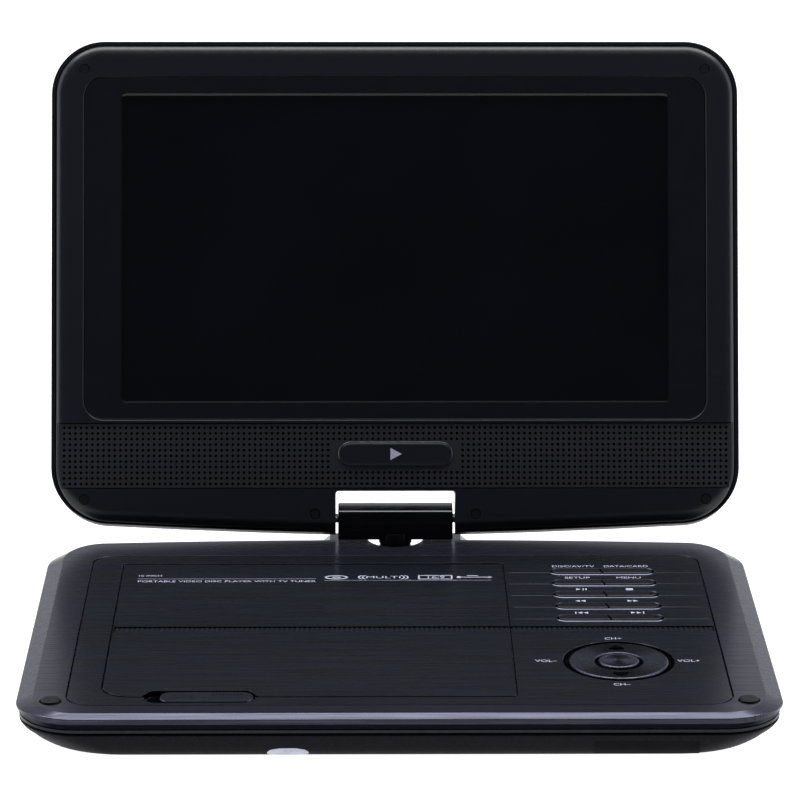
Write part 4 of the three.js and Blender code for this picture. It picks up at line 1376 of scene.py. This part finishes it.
add("badge_pill", badgePiece(), looks["badge"], "lid", ["badge"], lidPlace)
playMark = upright([(-2.0, 23.6), (-2.0, 28.5), (2.6, 26.05)], [(0, 7.18), (0, 7.27)])
add("badge_mark", playMark, looks["mark"], "lid", place=lidPlace, weighted=False)
for side, name in ((-1, "left"), (1, "right")):
    for (x, up), level in zip(capPlaces, ("high", "low", "hinge")):
        cap = turnedOut(
            (side * x, up), [(2.1, 6.3), (2.1, 6.85), (1.95, 7.0), (1.5, 7.02), (0.3, 6.95)], 32,
        )
        gone = [] if level == "hinge" else [f"screw_cap_{level}_{name}"]
        add(f"cap_{level}_{name}", cap, looks["rubber"], "lid", gone, lidPlace, sharp=45)
print("lid ready")

# inside the disc well
hubProfile = [
    (1, 6), (1, 12.4), (15, 12.4), (15, 15.5), (14.7, 15.8), (7.5, 15.8), (7.4, 16.0), (7.4, 17.2),
    (7.1, 17.5), (5.8, 18.35), (5.2, 18.4), (1, 18.4),
]


def hub():
    s = wellSize
    body = turned((s["x"], s["front"]), hubProfile, 64)
    balls = []
    for i in range(3):  # three sprung balls hold the disc
        turn = math.radians(120 * i + 30)
        spot = (s["x"] + 6.9 * math.cos(turn), s["front"] + 6.9 * math.sin(turn))
        balls.append(turned(spot, [(0.3, 16.0), (0.8, 16.2), (1.0, 16.7), (0.8, 17.2), (0.3, 17.4)], 16))
    return carve(body, balls, "UNION")


add("disc_hub", hub(), looks["hub"], "turntable", ["turntable"])


def sledLens():
    s = wellSize
    return turned(
        (s["x"], s["front"] + 25), [(2.1, 13.9), (2.1, 14.0), (1.7, 14.25), (1.0, 14.45), (0.2, 14.5)],
        32,
    )


add("pickup_lens", sledLens(), looks["lens"], "pickup_sled")

# the remaining CAD pieces keep their shapes and get these materials
kept = {
    "board": ["main_board", "key_board", "display_board"],
    "wrap": ["battery_pack"],
    "steel": [
        "guide_rod_left", "guide_rod_right", "lead_screw", "sled_motor", "spindle_motor", "tilt_pin_left",
        "tilt_pin_right",
    ],
    "well": ["drive_frame", "swivel_seat", "pickup_sled"],
    "hub": ["speaker_left", "speaker_right"],
}
for look, nodes in kept.items():
    for node in nodes:
        data = frame["nodes"][node].data
        data.materials.clear()
        data.materials.append(looks[look])
print("inner pieces ready")


# studio: pale floor, bright backdrop behind, soft panels at the sides and above
def makeStudio():
    bpy.ops.mesh.primitive_plane_add(size=30, location=(0, 0, 0))
    floor = bpy.context.object
    floor.name = "floor"
    look = bpy.data.materials.new("pale floor")
    look.use_nodes = True
    put(look.node_tree.nodes["Principled BSDF"], {
        "Base Color": (0.3, 0.3, 0.3, 1), "Emission Color": (1, 1, 1, 1), "Emission Strength": 1.0,
        "Roughness": 0.9, "Specular IOR Level": 0.1,
    })
    floor.data.materials.append(look)


def makeLight(name, spot, aim, size, power, colour=(1, 1, 1)):
    data = bpy.data.lights.new(name, "AREA")
    data.shape = "RECTANGLE"
    data.size, data.size_y = size
    data.energy = power
    data.color = colour
    light = bpy.data.objects.new(name, data)
    way = Vector(aim) - Vector(spot)
    light.matrix_world = Matrix.Translation(spot) @ way.to_track_quat("-Z", "Y").to_matrix().to_4x4()
    bpy.context.scene.collection.objects.link(light)


def makeWorld():
    world = bpy.data.worlds.new("studio")
    bpy.context.scene.world = world
    world.use_nodes = True
    nodes, links = world.node_tree.nodes, world.node_tree.links
    back = nodes["Background"]
    put(back, {"Color": (1, 1, 1, 1), "Strength": 1.05})
    dim = nodes.new("ShaderNodeBackground")
    put(dim, {"Strength": 1.0})
    where = nodes.new("ShaderNodeTexCoord")
    split = nodes.new("ShaderNodeSeparateXYZ")
    links.new(where.outputs["Generated"], split.inputs["Vector"])
    ramp = nodes.new("ShaderNodeMapRange")
    ramp.interpolation_type = "SMOOTHSTEP"
    put(ramp, {"From Min": -0.35, "From Max": 0.6, "To Min": 0.03, "To Max": 0.75})
    links.new(split.outputs["Y"], ramp.inputs["Value"])
    tint = nodes.new("ShaderNodeMixRGB")
    tint.blend_type = "MULTIPLY"
    put(tint, {"Fac": 1, "Color2": (0.93, 0.94, 1, 1)})
    links.new(ramp.outputs["Result"], tint.inputs["Color1"])
    links.new(tint.outputs["Color"], dim.inputs["Color"])
    rays = nodes.new("ShaderNodeLightPath")
    mix = nodes.new("ShaderNodeMixShader")
    links.new(rays.outputs["Is Camera Ray"], mix.inputs["Fac"])
    links.new(dim.outputs["Background"], mix.inputs[1])
    links.new(back.outputs["Background"], mix.inputs[2])
    links.new(mix.outputs["Shader"], nodes["World Output"].inputs["Surface"])


makeStudio()
makeWorld()
makeLight("left panel", (-1.5, -0.1, 0.55), (0, 0, 0.05), (1.0, 1.6), 15, (0.86, 0.84, 1))
makeLight("right panel", (1.5, -0.1, 0.55), (0, 0, 0.05), (1.0, 1.6), 15, (0.86, 0.84, 1))
makeLight("top panel", (0, 0.25, 1.7), (0, 0, 0), (2.6, 1.2), 90)
makeLight("front panel", (0, -1.2, 2.2), (0, 0, 0), (1.8, 0.5), 3)
print("studio ready")
